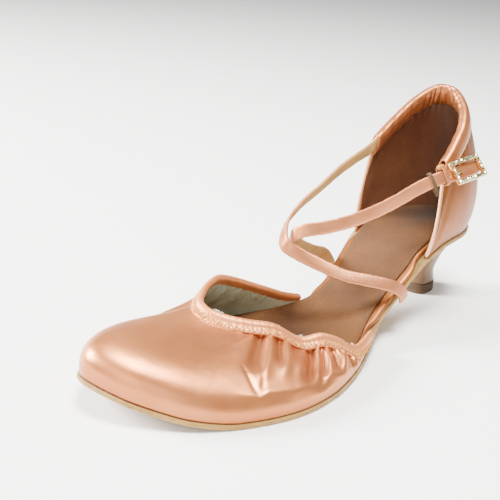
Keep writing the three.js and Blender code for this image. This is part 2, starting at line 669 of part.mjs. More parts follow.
// A block of D-shaped sections; each row gives the section's front, back and half width.
function roundBlock(rows, heightOf, steps) {
  const sections = rows.map((row) => {
    const middle = row.front - BREAST_DEPTH * row.half;
    const section = [];
    for (let n = 0; n < steps; n += 1) {
      const angle = ((n + 0.5) / steps) * 2 * Math.PI;
      const power = Math.cos(angle) > 0 ? BREAST_FLATNESS : 1;
      const length = Math.cos(angle) > 0 ? row.front - middle : middle - row.back;
      const x = middle + Math.sign(Math.cos(angle)) * Math.abs(Math.cos(angle)) ** power * length;
      const y = HEEL_CENTRE_Y + row.shift + Math.sin(angle) * row.half;
      section.push(new THREE.Vector3(x, y, heightOf(row, x)));
    }
    return section;
  });
  return loft(sections);
}

const tipGeometry = () => roundBlock(TIP_ROWS, (row) => row.z, TIP_SIDES);

function heelGeometry() {
  const smooth = ["front", "back", "half", "shift"].map((name) => [name, column(HEEL_ROWS, "level", name)]);
  const rows = Array.from({ length: HEEL_LEVELS + 1 }, (_, i) => ({
    level: i / HEEL_LEVELS,
    ...Object.fromEntries(smooth.map(([name, value]) => [name, value(i / HEEL_LEVELS)])),
  }));
  const bottom = TIP_THICKNESS + CONTACT_GAP;
  const heightOf = (row, x) => THREE.MathUtils.lerp(bottom, floorAt(x) - CONTACT_GAP, row.level);
  return roundBlock(rows, heightOf, HEEL_SIDES);
}

// The buckle's own axes: x along its long side, y across it upwards, z outwards.
const buckleAxes = new THREE.Matrix4().makeBasis(
  BUCKLE_LONG,
  BUCKLE_FACE.clone().cross(BUCKLE_LONG).normalize(),
  BUCKLE_FACE,
);
buckleAxes.setPosition(BUCKLE_MIDDLE);
const atBuckle = (x, y, z) => new THREE.Vector3(x, y, z).applyMatrix4(buckleAxes);

const BLUNT_WIDTH = 4.9; // the strap's rounded end: the last widths before and at its tip
const TIP_WIDTH = 2.6;

// The route of the buckle strap goes on straight behind the buckle to the strap's rounded end.
function buckleStrapFrames() {
  const face = { faceX: BUCKLE_FACE.x, faceY: BUCKLE_FACE.y, faceZ: BUCKLE_FACE.z };
  const behind = [-BUCKLE_LENGTH / 2 - 1, -2, STRAP_END].map((x) => ({
    ...atBuckle(x, 0, -STRAP_UNDER_BUCKLE),
    ...face,
  }));
  const frames = routeFrames([...BUCKLE_STRAP_ROUTE, ...behind], BUCKLE_STRAP_STEPS);
  frames[frames.length - 2].width = BLUNT_WIDTH;
  frames[frames.length - 1].width = TIP_WIDTH;
  return frames;
}

// A round bar between two points, as a solid for cutting or for a wire.
function bar(from, to, radius, sides) {
  const extrudePath = new THREE.LineCurve3(from, to);
  return new THREE.ExtrudeGeometry(circle(radius, sides), { steps: 1, bevelEnabled: false, extrudePath });
}

function circle(radius, sides) {
  const corners = Array.from({ length: sides }, (_, n) => {
    const angle = (2 * Math.PI * n) / sides;
    return new THREE.Vector2(Math.cos(angle) * radius, Math.sin(angle) * radius);
  });
  return new THREE.Shape(corners);
}

// The buckle strap with the hole that the prong passes through.
function buckleStrapGeometry() {
  const strap = bandGeometry(buckleStrapFrames());
  const reach = 2 * STRAP_THICKNESS;
  const drill = bar(
    atBuckle(PRONG_HOLE, 0, -STRAP_UNDER_BUCKLE - reach),
    atBuckle(PRONG_HOLE, 0, -STRAP_UNDER_BUCKLE + reach),
    STRAP_HOLE_RADIUS,
    HOLE_SIDES,
  );
  return fromSolid(toSolid(strap).subtract(toSolid(drill)));
}

// The rectangular frame that carries the stones.
function buckleFrameGeometry() {
  const rectangle = (shape, length, height) => {
    shape.moveTo(-length / 2, -height / 2);
    shape.lineTo(length / 2, -height / 2);
    shape.lineTo(length / 2, height / 2);
    shape.lineTo(-length / 2, height / 2);
    shape.closePath();
    return shape;
  };
  const face = rectangle(new THREE.Shape(), BUCKLE_LENGTH, BUCKLE_HEIGHT);
  const rails = 2 * BUCKLE_RAIL;
  face.holes.push(rectangle(new THREE.Path(), BUCKLE_LENGTH - rails, BUCKLE_HEIGHT - rails));
  const frame = new THREE.ExtrudeGeometry(face, { depth: BUCKLE_THICKNESS, bevelEnabled: false });
  frame.translate(0, 0, -BUCKLE_THICKNESS / 2);
  return frame.applyMatrix4(buckleAxes);
}

// The bar behind the strap: a staple between the frame's long rails.
function buckleBarGeometry() {
  const rail = BUCKLE_HEIGHT / 2 - BUCKLE_RAIL / 2 - CONTACT_GAP;
  const back = -STRAP_UNDER_BUCKLE - STRAP_THICKNESS / 2 - CONTACT_GAP - WIRE_RADIUS;
  const front = -BUCKLE_THICKNESS / 2 - CONTACT_GAP;
  const corners = [
    [rail, front],
    [rail, back + WIRE_BEND],
    [rail - WIRE_BEND, back],
    [-rail + WIRE_BEND, back],
    [-rail, back + WIRE_BEND],
    [-rail, front],
  ];
  return wire(corners.map(([y, z]) => atBuckle(BAR_PLACE, y, z)));
}

// The prong: from beside the bar up through the strap's hole and onto the near rail.
function buckleProngGeometry() {
  const back = -STRAP_UNDER_BUCKLE - STRAP_THICKNESS / 2 - CONTACT_GAP - WIRE_RADIUS;
  const front = -STRAP_UNDER_BUCKLE + STRAP_THICKNESS / 2 + CONTACT_GAP + WIRE_RADIUS;
  const corners = [
    [BAR_PLACE - 2 * WIRE_RADIUS - CONTACT_GAP, back],
    [PRONG_HOLE + WIRE_BEND, back],
    [PRONG_HOLE, back + WIRE_BEND],
    [PRONG_HOLE, front - WIRE_BEND],
    [PRONG_HOLE - WIRE_BEND, front],
    [-BUCKLE_LENGTH / 2 + BUCKLE_RAIL + CONTACT_GAP, front],
  ];
  return wire(corners.map(([x, z]) => atBuckle(x, 0, z)));
}

// A wire through points.
function wire(points) {
  const extrudePath = new THREE.CatmullRomCurve3(points, false, "centripetal");
  const section = circle(WIRE_RADIUS, WIRE_SIDES);
  return new THREE.ExtrudeGeometry(section, { steps: WIRE_STEPS, bevelEnabled: false, extrudePath });
}

// An elastic loop standing round the buckle strap.
function loopGeometry({ x, height, drop, length }) {
  const frames = buckleStrapFrames().slice(BUCKLE_STRAP_STEPS / 2);
  const nearest = frames.reduce((best, frame) =>
    Math.abs(frame.middle.x - x) < Math.abs(best.middle.x - x) ? frame : best,
  );
  const along = nearest.up.clone().cross(nearest.outward).normalize();
  const ends = [-0.5, 0.5].map((end) => ({
    ...nearest,
    middle: nearest.middle
      .clone()
      .addScaledVector(along, end * length)
      .addScaledVector(nearest.up, -drop * Math.sign(nearest.up.z)),
  }));
  return hollowBand(ends, height, LOOP_THICKNESS, LOOP_WALL);
}

// Colours and finishes
const satin = { color: 0xdba989, roughness: 0.42, metalness: 0 };
const suede = { color: 0xb8925c, roughness: 0.95, metalness: 0 };
const lining = { color: 0x7a5236, roughness: 0.85, metalness: 0 };
const elastic = { color: 0xb4935d, roughness: 0.9, metalness: 0 };
const heelCover = { color: 0x74604c, roughness: 0.7, metalness: 0 };
const tipRubber = { color: 0x3c342c, roughness: 0.8, metalness: 0 };
const gold = { color: 0xd0a95c, roughness: 0.3, metalness: 1 };

const shoe = new THREE.Group();
function add(name, geometry, look) {
  const mesh = new THREE.Mesh(geometry, new THREE.MeshStandardMaterial(look));
  mesh.name = name;
  shoe.add(mesh);
  return mesh;
}

add("outsole", outsoleGeometry(), suede);
add("insole_board", boardGeometry(), satin);
add("sock_lining", sockGeometry(), lining);
add("heel_block", heelGeometry(), heelCover);
add("heel_tip", tipGeometry(), tipRubber);
add("upper_vamp", vampGeometry(), satin);
add("throat_binding", bindingGeometry(), satin);
add("upper_counter", counterGeometry(), satin);
add("collar_sleeve", sleeveGeometry(), satin);
add("long_strap", longStrapGeometry(), satin);
add("buckle_strap", buckleStrapGeometry(), satin);
add("buckle_frame", buckleFrameGeometry(), gold);
add("buckle_bar", buckleBarGeometry(), gold);
add("buckle_prong", buckleProngGeometry(), gold);
for (const loop of LOOPS) add(loop.name, loopGeometry(loop), elastic);

export default shoe;
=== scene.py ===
"""A left ballroom dance shoe in peach satin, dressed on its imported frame."""
import logging
import math
from collections.abc import Callable
from dataclasses import dataclass
from enum import Enum
from typing import ClassVar

import bpy
import numpy as np
from mathutils import Matrix, Vector


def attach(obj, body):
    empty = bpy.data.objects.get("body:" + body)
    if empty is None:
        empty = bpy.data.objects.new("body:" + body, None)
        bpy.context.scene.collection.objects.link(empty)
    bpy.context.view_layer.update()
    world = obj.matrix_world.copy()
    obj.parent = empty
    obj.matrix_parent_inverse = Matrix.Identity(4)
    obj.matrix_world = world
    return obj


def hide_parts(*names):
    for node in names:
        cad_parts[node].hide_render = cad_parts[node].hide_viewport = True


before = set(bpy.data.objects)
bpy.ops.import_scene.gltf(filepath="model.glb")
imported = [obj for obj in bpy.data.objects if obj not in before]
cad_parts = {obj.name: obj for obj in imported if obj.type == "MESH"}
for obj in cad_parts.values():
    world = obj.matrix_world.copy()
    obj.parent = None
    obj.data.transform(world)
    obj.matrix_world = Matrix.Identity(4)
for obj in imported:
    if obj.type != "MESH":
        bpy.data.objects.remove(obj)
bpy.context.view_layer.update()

LOG = logging.getLogger("dance_shoe")
MM = 0.001
UP = np.array([0.0, 0.0, 1.0])
Array = np.ndarray
Piece = bpy.types.Object
Material = bpy.types.Material
Socket = bpy.types.NodeSocket
Pair = tuple[float, float]
Pairs = tuple[Pair, ...]
Triple = tuple[float, float, float]


# Sizes in millimetres, as the solids have them

GAP = 0.3
SOLE = 2.0
BOARD = 2.6
SOCK = 1.0
UPPER_INSET = 0.7
BINDING_HEIGHT = 6.0
SLEEVE_HEIGHT = 9.8
SLEEVE_THICKNESS = 4.8
SLEEVE_STAND = 1.0
STRAP_WIDTH = 5.7
STRAP_THICKNESS = 1.5
BUCKLE_LENGTH = 22.0
BUCKLE_HEIGHT = 10.9
BUCKLE_RAIL = 2.0
STRAP_UNDER_BUCKLE = 2.05
STRAP_END = 9.0
PRONG_HOLE = -3.6
TIP_THICKNESS = 5.0

TOE = (199.5, 0.5, 11.4)
HEEL_BACK = (-20.0, 3.0, 34.5)
SOLE_COLUMNS = ("x", "outer", "inner", "floor")
SOLE_ROWS = (
    (194.5, 15.4, 9.5, 8.8),
    (187, 24.6, 15.5, 5.6),
    (176, 35.0, 20.8, 2.1),
    (161, 43.6, 25.2, 0),
    (141, 49.8, 27.2, 0),
    (121, 49.6, 25.5, 0),
    (101, 44.1, 20.5, 0.9),
    (81, 35.0, 12.8, 3.8),
    (65, 27.7, 9.8, 9.6),
    (48, 26.3, 14.0, 20.2),
    (33, 26.0, 18.2, 29.2),
    (17, 25.3, 18.2, 33.8),
    (2, 22.9, 16.0, 34.5),
    (-10.5, 17.0, 10.6, 34.5),
    (-17.5, 10.0, 3.6, 34.5),
)
INSET_COLUMNS = ("x", "board", "sock")
INSET_ROWS = (
    (140, 3.1, 4.2),
    (74.5, 3.4, 4.6),
    (68, 0.7, 4.0),
    (44, 0.7, 4.0),
    (37, 3.4, 4.8),
    (-10, 3.4, 4.8),
)
VAMP_COLUMNS = ("foot", "side", "x", "y", "z", "swell", "rise", "reach", "fall", "lip")
VAMP_ROWS = (
    (80, 1, 79.5, 33.8, 12.4, 0.8, 2.5, 2.0, 80, 0.6),
    (88, 1, 87.0, 36.6, 12.0, 1.4, 3.0, 2.5, 75, 1.0),
    (98, 1, 97.0, 38.4, 12.2, 2.2, 4.5, 3.5, 55, 1.6),
    (107, 1, 104.5, 35.2, 16.8, 2.8, 7.0, 7.0, 35, 2.2),
    (116, 1, 110.5, 31.6, 18.8, 3.0, 9.0, 9.0, 22, 2.6),
    (127, 1, 118.0, 28.0, 18.0, 3.0, 9.5, 10.5, 12, 2.6),
    (140, 1, 127.0, 21.6, 23.6, 2.8, 12.0, 13, 16, 2.8),
    (155, 1, 135.0, 16.0, 25.2, 2.6, 13.0, 15, 10, 3.2),
    (171, 1, 142.0, 9.5, 26.8, 2.4, 14.0, 19, 5, 3.8),
    (186, 1, 144.5, 4.5, 27.8, 2.6, 17.5, 24, 2, 4.2),
    (199, 0, 144.5, 0.0, 28.8, 2.8, 20.5, 28, 2, 4.4),
    (190, -1, 142.5, -3.5, 29.4, 2.4, 21.5, 24, 6, 4.4),
    (177, -1, 138.5, -7.0, 30.2, 1.6, 16.5, 18, 22, 4.0),
    (162, -1, 133.0, -10.4, 31.0, 1.0, 10.5, 13, 44, 3.2),
    (146, -1, 125.5, -13.0, 31.4, 0.8, 7.5, 11, 62, 2.4),
    (130, -1, 116.0, -14.4, 28.0, 0.8, 8.0, 10, 66, 2.0),
    (113, -1, 105.5, -14.8, 23.2, 0.8, 7.0, 8, 70, 1.6),
    (98, -1, 95.0, -14.2, 18.4, 0.8, 5.5, 5, 72, 1.2),
    (86, -1, 85.5, -12.4, 14.2, 0.6, 3.5, 3, 75, 0.8),
    (76, -1, 76.0, -10.3, 11.4, 0.4, 1.8, 1.6, 80, 0.4),
)
COUNTER_COLUMNS = ("foot", "side", "x", "y", "z", "swell", "tuck")
COUNTER_ROWS = (
    (34, -1, 24.5, -19.4, 77.4, 2.0, 1.5),
    (19, -1, 15.0, -17.4, 86.0, 3.5, 2.4),
    (4, -1, 4.0, -14.2, 95.3, 4.5, 3.2),
    (-10, -1, -5.4, -9.0, 101.1, 5.7, 5.6),
    (-20, 0, -8.6, -1.6, 101.0, 7.0, 7.8),
    (-10, 1, -4.2, 7.5, 96.6, 7.3, 8.8),
    (4, 1, 4.3, 15.0, 90.0, 5.4, 5.6),
    (19, 1, 14.1, 18.5, 81.5, 4.9, 3.1),
    (34, 1, 22.8, 20.1, 74.0, 4.8, 1.8),
)
COUNTER_LOW = 0.3
COUNTER_UPRIGHT = 0.35
COLLAR_DEPTH = 0.34
COLLAR_BACK = 0.12
LIP_REACH = 6.0
HEEL_CENTRE_Y = -0.8
HEEL_BEDDING = 0.1
HEEL_COLUMNS = ("level", "front", "back", "half", "shift")
HEEL_ROWS = (
    (0, 8.7, -9.0, 8.4, 0),
    (0.2, 7.4, -8.2, 7.4, 0.3),
    (0.42, 7.6, -9.4, 8.2, 1.2),
    (0.62, 10.4, -11.6, 10.2, 2.0),
    (0.82, 18.5, -14.4, 14.2, 3.0),
    (1, 31.0, -17.2, 18.0, 4.2),
)
# Strap routes: a middle point and the direction that its face looks in

LONG_STRAP_ROUTE = (
    (51.5, 27.9, 16.4, 0, 1, 0.05),
    (54.0, 28.3, 20.2, 0.05, 1, 0.2),
    (58.5, 27.0, 23.6, 0.25, 0.8, 0.55),
    (67.0, 23.0, 26.6, 0.4, 0.65, 0.65),
    (80.0, 16.0, 30.2, 0.5, 0.5, 0.7),
    (88.0, 9.5, 34.4, 0.6, 0.4, 0.65),
    (95.0, 3.5, 38.6, 0.75, 0.25, 0.6),
    (99.2, -1.8, 42.6, 0.85, -0.15, 0.45),
    (95.0, -6.3, 48.2, 0.65, -0.65, 0.35),
    (84.0, -9.5, 54.2, 0.4, -0.85, 0.35),
    (68.0, -12.5, 59.2, 0.3, -0.9, 0.3),
    (51.0, -15.6, 64.8, 0.2, -0.95, 0.2),
    (36.5, -15.8, 70.2, 0.15, -1, 0.15),
)
BUCKLE_STRAP_ROUTE = (
    (50.5, -15.0, 16.8, 0, -1, 0.05),
    (53.5, -15.4, 21.6, 0.1, -1, 0.15),
    (60.0, -13.8, 26.6, 0.35, -0.8, 0.45),
    (72.0, -10.8, 31.6, 0.5, -0.65, 0.6),
    (85.5, -7.0, 38.4, 0.65, -0.4, 0.6),
    (94.5, -2.5, 44.8, 0.8, -0.05, 0.5),
    (93.5, 2.5, 48.6, 0.7, 0.55, 0.4),
    (85.0, 6.5, 49.6, 0.45, 0.8, 0.35),
    (74.5, 10.4, 51.4, 0.35, 0.9, 0.3),
    (63.0, 14.6, 55.0, 0.3, 0.9, 0.3),
    (53.5, 18.4, 59.4, 0.2, 0.95, 0.3),
    (43.5, 22.2, 64.8, 0.2, 0.9, 0.4),
    (34.5, 26.6, 69.0, 0.1, 0.85, 0.55),
)
BUCKLE_MIDDLE = np.array([14.9, 27.1, 70.5])
BUCKLE_LONG = np.array([-1, -0.02, 0.06])
BUCKLE_FACE = np.array([0.03, 0.77, 0.64])
TIP_REACH = 2.2


# Curves

def unit(vectors: Array) -> Array:
    """Scale vectors to length one.

    Args:
        vectors: Vectors along the last axis.

    Returns:
        The same directions with length one.
    """
    length = np.linalg.norm(vectors, axis=-1, keepdims=True)
    return vectors / np.maximum(length, 1e-9)


def smooth(value: Array) -> Array:
    """Ease a share from 0 to 1 with level ends.

    Args:
        value: Shares, cut off below 0 and above 1.

    Returns:
        The eased shares.
    """
    share = np.clip(value, 0.0, 1.0)
    return share * share * (3 - 2 * share)


def rounded(left: Array, reach: float, least: float = 0.0) -> Array:
    """Size of a rounded end, as a share of the full size.

    Args:
        left: Distance from the end.
        reach: Length of the rounding.
        least: Square of the share that is left at the end.

    Returns:
        The shares, 1 from the reach onwards.
    """
    return np.sqrt(np.clip(1 - (1 - np.clip(left / reach, 0, 1)) ** 2, least, 1))


def squarish(wave: Array, power: float) -> Array:
    """Swell a sine or cosine to draw a rounded box."""
    return np.sign(wave) * np.abs(wave) ** power


def full_turn(sides: int) -> Array:
    """Angles once round, the last one repeating the first."""
    return np.linspace(0, 2 * math.pi, sides + 1)


def shares(steps: int) -> Array:
    """Even shares from 0 to 1."""
    return np.linspace(0, 1, steps + 1)


def travelled(path: Array) -> Array:
    """Distance travelled at each point of a path."""
    return np.concatenate([[0], np.cumsum(np.linalg.norm(np.diff(path, axis=0), axis=1))])


def squared(vectors: Array, axes: Array) -> Array:
    """Unit directions at right angles to the axes, nearest to the vectors."""
    return unit(vectors - axes * np.sum(axes * vectors, 1, keepdims=True))


class Column:
    """A smooth curve through one column of a table, without overshoot."""

    def __init__(self, along: Array, values: Array) -> None:
        """Sort the knots and work out their slopes.

        Args:
            along: Where the knots stand.
            values: The value at each knot.
        """
        order = np.argsort(along)
        self.knots = np.asarray(along, float)[order]
        self.values = np.asarray(values, float)[order]
        slope = np.diff(self.values) / np.diff(self.knots)
        before, after = slope[:-1], slope[1:]
        total = np.where(before + after == 0, 1, before + after)
        inner = np.where(before * after <= 0, 0, 2 * before * after / total)
        self.tangents = np.concatenate([slope[:1], inner, slope[-1:]])

    def __call__(self, place: Array) -> Array:
        """Read the curve.

        Args:
            place: Where to read it.

        Returns:
            The values there.
        """
        held = np.clip(place, self.knots[0], self.knots[-1])
        i = np.clip(np.searchsorted(self.knots, held, side="right") - 1, 0, len(self.knots) - 2)
        width = self.knots[i + 1] - self.knots[i]
        t = (held - self.knots[i]) / width
        rise = t * t * (3 - 2 * t)
        bend = t * (1 - t) ** 2 * self.tangents[i] + t * t * (t - 1) * self.tangents[i + 1]
        return self.values[i] * (1 - rise) + self.values[i + 1] * rise + bend * width


class Spline:
    """A smooth curve through points, its tension even or fitted to their spacing."""

    NOTHING = 1e-4
    STEP = 1e-4

    def __init__(self, points: Array, closed: bool = False, even: bool = False) -> None:
        """Keep the points.

        Args:
            points: The points that the curve passes through.
            closed: Whether the curve returns to its start.
            even: Whether every span has the same tension.
        """
        self.points = np.asarray(points, float)
        self.closed = closed
        self.even = even

    def __call__(self, place: Array) -> Array:
        """Read the curve.

        Args:
            place: Shares of the way along it, each span taking an equal share.

        Returns:
            One point for each share.
        """
        place = np.atleast_1d(np.asarray(place, float))
        count = len(self.points)
        if self.closed:
            where = (place % 1.0) * count
            i = np.floor(where).astype(int)
            near = [self.points[(i + step) % count] for step in (-1, 0, 1, 2)]
        else:
            where = np.clip(place, 0, 1) * (count - 1)
            i = np.minimum(np.floor(where).astype(int), count - 2)
            first = 2 * self.points[0] - self.points[1]
            last = 2 * self.points[-1] - self.points[-2]
            padded = np.vstack([first, self.points, last])
            near = [padded[i + step] for step in range(4)]
        return self._span(*near, (where - i)[:, None])

    def _span(self, before: Array, start: Array, end: Array, after: Array, t: Array) -> Array:
        """Blend four points of a span.

        Args:
            before: The point before the span.
            start: The span's first point.
            end: The span's last point.
            after: The point after the span.
            t: Share of the way along the span.

        Returns:
            The points at t.
        """
        if self.even:
            leave, arrive = 0.5 * (end - before), 0.5 * (after - start)
        else:
            gaps = [np.linalg.norm(b - a, axis=1, keepdims=True) ** 0.5
                    for a, b in ((before, start), (start, end), (end, after))]
            span = np.where(gaps[1] < self.NOTHING, 1.0, gaps[1])
            first = np.where(gaps[0] < self.NOTHING, span, gaps[0])
            last = np.where(gaps[2] < self.NOTHING, span, gaps[2])
            rise = (end - start) / span
            leave = ((start - before) / first - (end - before) / (first + span) + rise) * span
            arrive = (rise - (after - start) / (span + last) + (after - end) / last) * span
        square = -3 * start + 3 * end - 2 * leave - arrive
        cube = 2 * start - 2 * end + leave + arrive
        return start + leave * t + square * t * t + cube * t ** 3

    def tangent(self, place: Array) -> Array:
        """Direction of the curve.

        Args:
            place: Shares of the way along it.

        Returns:
            Unit directions.
        """
        place = np.atleast_1d(np.asarray(place, float))
        return unit(self(np.minimum(place + self.STEP, 1)) - self(np.maximum(place - self.STEP, 0)))


def named(columns: tuple[str, ...], rows: tuple[tuple[float, ...], ...]) -> dict[str, Array]:
    """Turn a table's rows into named columns.

    Args:
        columns: The names.
        rows: The rows, a value for each name.

    Returns:
        One array for each name.
    """
    return {name: np.array([row[n] for row in rows], float) for n, name in enumerate(columns)}


# The shoe's main forms

class Last:
    """The sole's outline and levels, which everything else stands on."""

    SEARCH_STEPS = 4000

    def __init__(self) -> None:
        """Read the sole's tables."""
        sole = named(SOLE_COLUMNS, SOLE_ROWS)
        inset = named(INSET_COLUMNS, INSET_ROWS)
        level = np.zeros(len(sole["x"]))
        outer = np.stack([sole["x"], sole["outer"], level], 1)
        inner = np.stack([sole["x"], -sole["inner"], level], 1)[::-1]
        toe, heel = (np.array([*tip[:2], 0.0]) for tip in (TOE, HEEL_BACK))
        self.curve = Spline(np.vstack([toe, outer, heel, inner]), closed=True)
        self.floor = Column(np.append(sole["x"], (TOE[0], HEEL_BACK[0])),
                            np.append(sole["floor"], (TOE[2], HEEL_BACK[2])))
        self.board_inset = Column(inset["x"], inset["board"])
        self.sock_inset = Column(inset["x"], inset["sock"])

    def sole_top(self, x: Array) -> Array:
        """Height of the sole's upper face at x."""
        return self.floor(x) + SOLE

    def board_top(self, x: Array) -> Array:
        """Height of the board's upper face at x."""
        return self.sole_top(x) + GAP + BOARD

    def sock_top(self, x: Array) -> Array:
        """Height of the sock lining's upper face at x."""
        return self.board_top(x) + GAP + SOCK

    def edge(self, place: Array, inset: Array = 0.0) -> Array:
        """Points of the outline.

        Args:
            place: 0 at the toe, positive along the outer side to 0.5 at the heel, negative inside.
            inset: How far the points are moved inwards.

        Returns:
            The points, at height 0.
        """
        way = (np.atleast_1d(place) + 1) % 1
        ahead, behind = (way + Spline.STEP) % 1, (way + 1 - Spline.STEP) % 1
        along = unit(self.curve(ahead) - self.curve(behind))
        side = np.stack([-along[:, 1], along[:, 0], np.zeros(len(way))], 1)
        return self.curve(way) + side * np.reshape(inset * np.ones(len(way)), (-1, 1))

    def place_at(self, x: float, side: float) -> float:
        """The place on one side of the outline at a given x.

        Args:
            x: Distance along the shoe.
            side: 1 for the outer side, -1 for the inner one, 0 for a tip.

        Returns:
            The place.
        """
        if side == 0:
            return 0.0 if x > 0 else 0.5
        places = shares(self.SEARCH_STEPS) / 2
        reach = self.edge(side * places)[:, 0]
        return float(side * np.interp(-x, -reach, places))

    def outwards(self, place: Array) -> Array:
        """Level outward directions at places of the outline."""
        return unit(self.edge(place) - self.edge(place, 1.0))


class Surface:
    """A wall of curved sections that stand along the outline."""

    STEP = 2e-3
    DEPTH_STEPS = 400

    def __init__(self, last: Last, columns: tuple[str, ...], rows: tuple, wraps: bool) -> None:
        """Read the wall's table.

        Args:
            last: The outline that the wall stands on.
            columns: Names of the table's columns.
            rows: The table.
            wraps: Whether the wall runs round the heel.
        """
        self.last = last
        table = named(columns, rows)
        along = shares(len(rows) - 1)
        place = np.array([last.place_at(x, side) for x, side in zip(table["foot"], table["side"])])
        if wraps:
            place = np.where(place < 0, place + 1, place)
        self.values = {name: Column(along, table[name]) for name in columns[5:]}
        self.place = Column(along, place)
        self.rim = Spline(np.stack([table["x"], table["y"], table["z"]], 1))

    def feet(self, t: Array) -> tuple[Array, Array]:
        """Where the sections stand.

        Args:
            t: Shares along the wall.

        Returns:
            The foot points and their outward directions.
        """
        place = self.place(t)
        foot = self.last.edge(place, UPPER_INSET)
        foot[:, 2] = self.last.sole_top(foot[:, 0]) + GAP
        return foot, self.last.outwards(place)

    def corners(self, t: Array) -> list[Array]:
        """The four corners of each section's curve, which each wall gives in its own way."""
        raise NotImplementedError

    def points(self, t: Array, s: Array) -> Array:
        """Points of the wall's outer face.

        Args:
            t: Shares along the wall.
            s: Levels from the sole, 0, to the rim, 1; one row for each t, or one for all.

        Returns:
            A grid of points, along the wall and then up it.
        """
        s = np.atleast_2d(s)
        s = np.broadcast_to(s, (len(t), s.shape[1]))[..., None]
        weights = (1 - s) ** 3, 3 * (1 - s) ** 2 * s, 3 * (1 - s) * s ** 2, s ** 3
        return sum(w * corner[:, None, :] for w, corner in zip(weights, self.corners(t)))

    def level_below(self, t: Array, length: float) -> Array:
        """The level at which the wall lies a given length below its rim.

        Args:
            t: Shares along the wall.
            length: Straight distance from the rim.

        Returns:
            One level for each t.
        """
        levels = shares(self.DEPTH_STEPS)
        grid = self.points(t, levels)
        distance = np.linalg.norm(grid - grid[:, -1:], axis=2)[:, ::-1]
        distance = np.maximum.accumulate(distance, axis=1)
        return np.array([np.interp(length, row, levels[::-1]) for row in distance])

    def normals(self, t: Array, s: Array) -> Array:
        """Outward normals of the wall at single places.

        Args:
            t: Shares along the wall.
            s: A level for each t.

        Returns:
            Unit normals.
        """
        level = np.reshape(s, (-1, 1))
        ahead, behind = np.minimum(t + self.STEP, 1), np.maximum(t - self.STEP, 0)
        along = (self.points(ahead, level) - self.points(behind, level))[:, 0]
        above, under = np.minimum(level + self.STEP, 1), np.maximum(level - self.STEP, 0)
        rise = (self.points(t, above) - self.points(t, under))[:, 0]
        return unit(np.cross(rise, along))


class VampForm(Surface):
    """The toe part's outer face, from the outer wing over the toe to the inner wing."""

    def __init__(self, last: Last) -> None:
        """Read the toe part's table."""
        super().__init__(last, VAMP_COLUMNS, VAMP_ROWS, wraps=False)

    def corners(self, t: Array) -> list[Array]:
        """The four corners of each section's curve.

        Args:
            t: Shares along the wall.

        Returns:
            The foot, the two points that shape the wall, and the rim.
        """
        foot, out = self.feet(t)
        throat = self.rim(t)
        throat[:, 2] -= self.values["lip"](t)
        fall, swell, rise, reach = (
            self.values[name](t)[:, None] for name in ("fall", "swell", "rise", "reach"))
        fall = np.radians(fall)
        down = foot - throat
        down[:, 2] = 0
        down = unit(np.where(np.sum(down ** 2, 1, keepdims=True) < 1, out, down)) * np.cos(fall)
        down[:, 2:] = -np.sin(fall)
        return [foot, foot + out * swell + UP * rise, throat + down * reach, throat]

    def points(self, t: Array, s: Array) -> Array:
        """Points of the outer face, with the gathered lip at the throat.

        Args:
            t: Shares along the wall.
            s: Levels from the sole, 0, to the throat, 1.

        Returns:
            A grid of points, along the wall and then up it.
        """
        grid = super().points(t, s)
        throat = self.corners(t)[3][:, None, :]
        near = np.maximum(0, 1 - np.linalg.norm(grid - throat, axis=2) / LIP_REACH)
        grid[..., 2] += self.values["lip"](t)[:, None] * near ** 2
        return grid


class CounterForm(Surface):
    """The heel part's outer face, from the inner front edge round the heel to the outer one."""

    def __init__(self, last: Last) -> None:
        """Read the heel part's table."""
        super().__init__(last, COUNTER_COLUMNS, COUNTER_ROWS, wraps=True)

    def corners(self, t: Array) -> list[Array]:
        """The four corners of each section's curve.

        Args:
            t: Shares along the wall.

        Returns:
            The foot, the two points that shape the wall, and the rim.
        """
        foot, out = self.feet(t)
        collar = self.rim(t)
        lean = np.array([COUNTER_UPRIGHT, COUNTER_UPRIGHT, 1])
        lower = foot + (collar - foot) * COUNTER_LOW * lean
        lower += out * self.values["swell"](t)[:, None]
        upper = collar + out * self.values["tuck"](t)[:, None]
        upper[:, 2] -= COLLAR_DEPTH * (collar - foot)[:, 2]
        upper[:, 0] += (foot[:, 0] - upper[:, 0]) * COLLAR_BACK
        return [foot, lower, upper, collar]

    def sleeve(self, t: Array) -> tuple[Array, Array, Array]:
        """The collar sleeve's frames.

        Args:
            t: Shares along the wall.

        Returns:
            Middles, upward and outward directions.
        """
        level = self.level_below(t, SLEEVE_HEIGHT / 2)
        outward = self.normals(t, level)
        place = self.points(t, level[:, None])[:, 0]
        up = squared(self.points(t, np.ones((len(t), 1)))[:, 0] - place, outward)
        return place + outward * (SLEEVE_STAND - SLEEVE_THICKNESS / 2), up, outward


@dataclass
class Ribbon:
    """A strap's path: middles, directions across and outwards, and widths."""

    middle: Array
    up: Array
    outward: Array
    width: Array

    @property
    def length(self) -> Array:
        """Distance travelled along the path, in millimetres."""
        return travelled(self.middle)


def ribbon(route: Array, steps: int) -> Ribbon:
    """Carry a strap's frames along its route.

    Args:
        route: Rows of a middle point and a face direction.
        steps: Number of steps along it.

    Returns:
        The path.
    """
    place = shares(steps)
    path, faces = Spline(route[:, :3]), Spline(route[:, 3:], even=True)
    along = path.tangent(place)
    outward = squared(faces(place), along)
    width = np.full(len(place), STRAP_WIDTH)
    return Ribbon(path(place), unit(np.cross(along, outward)), outward, width)


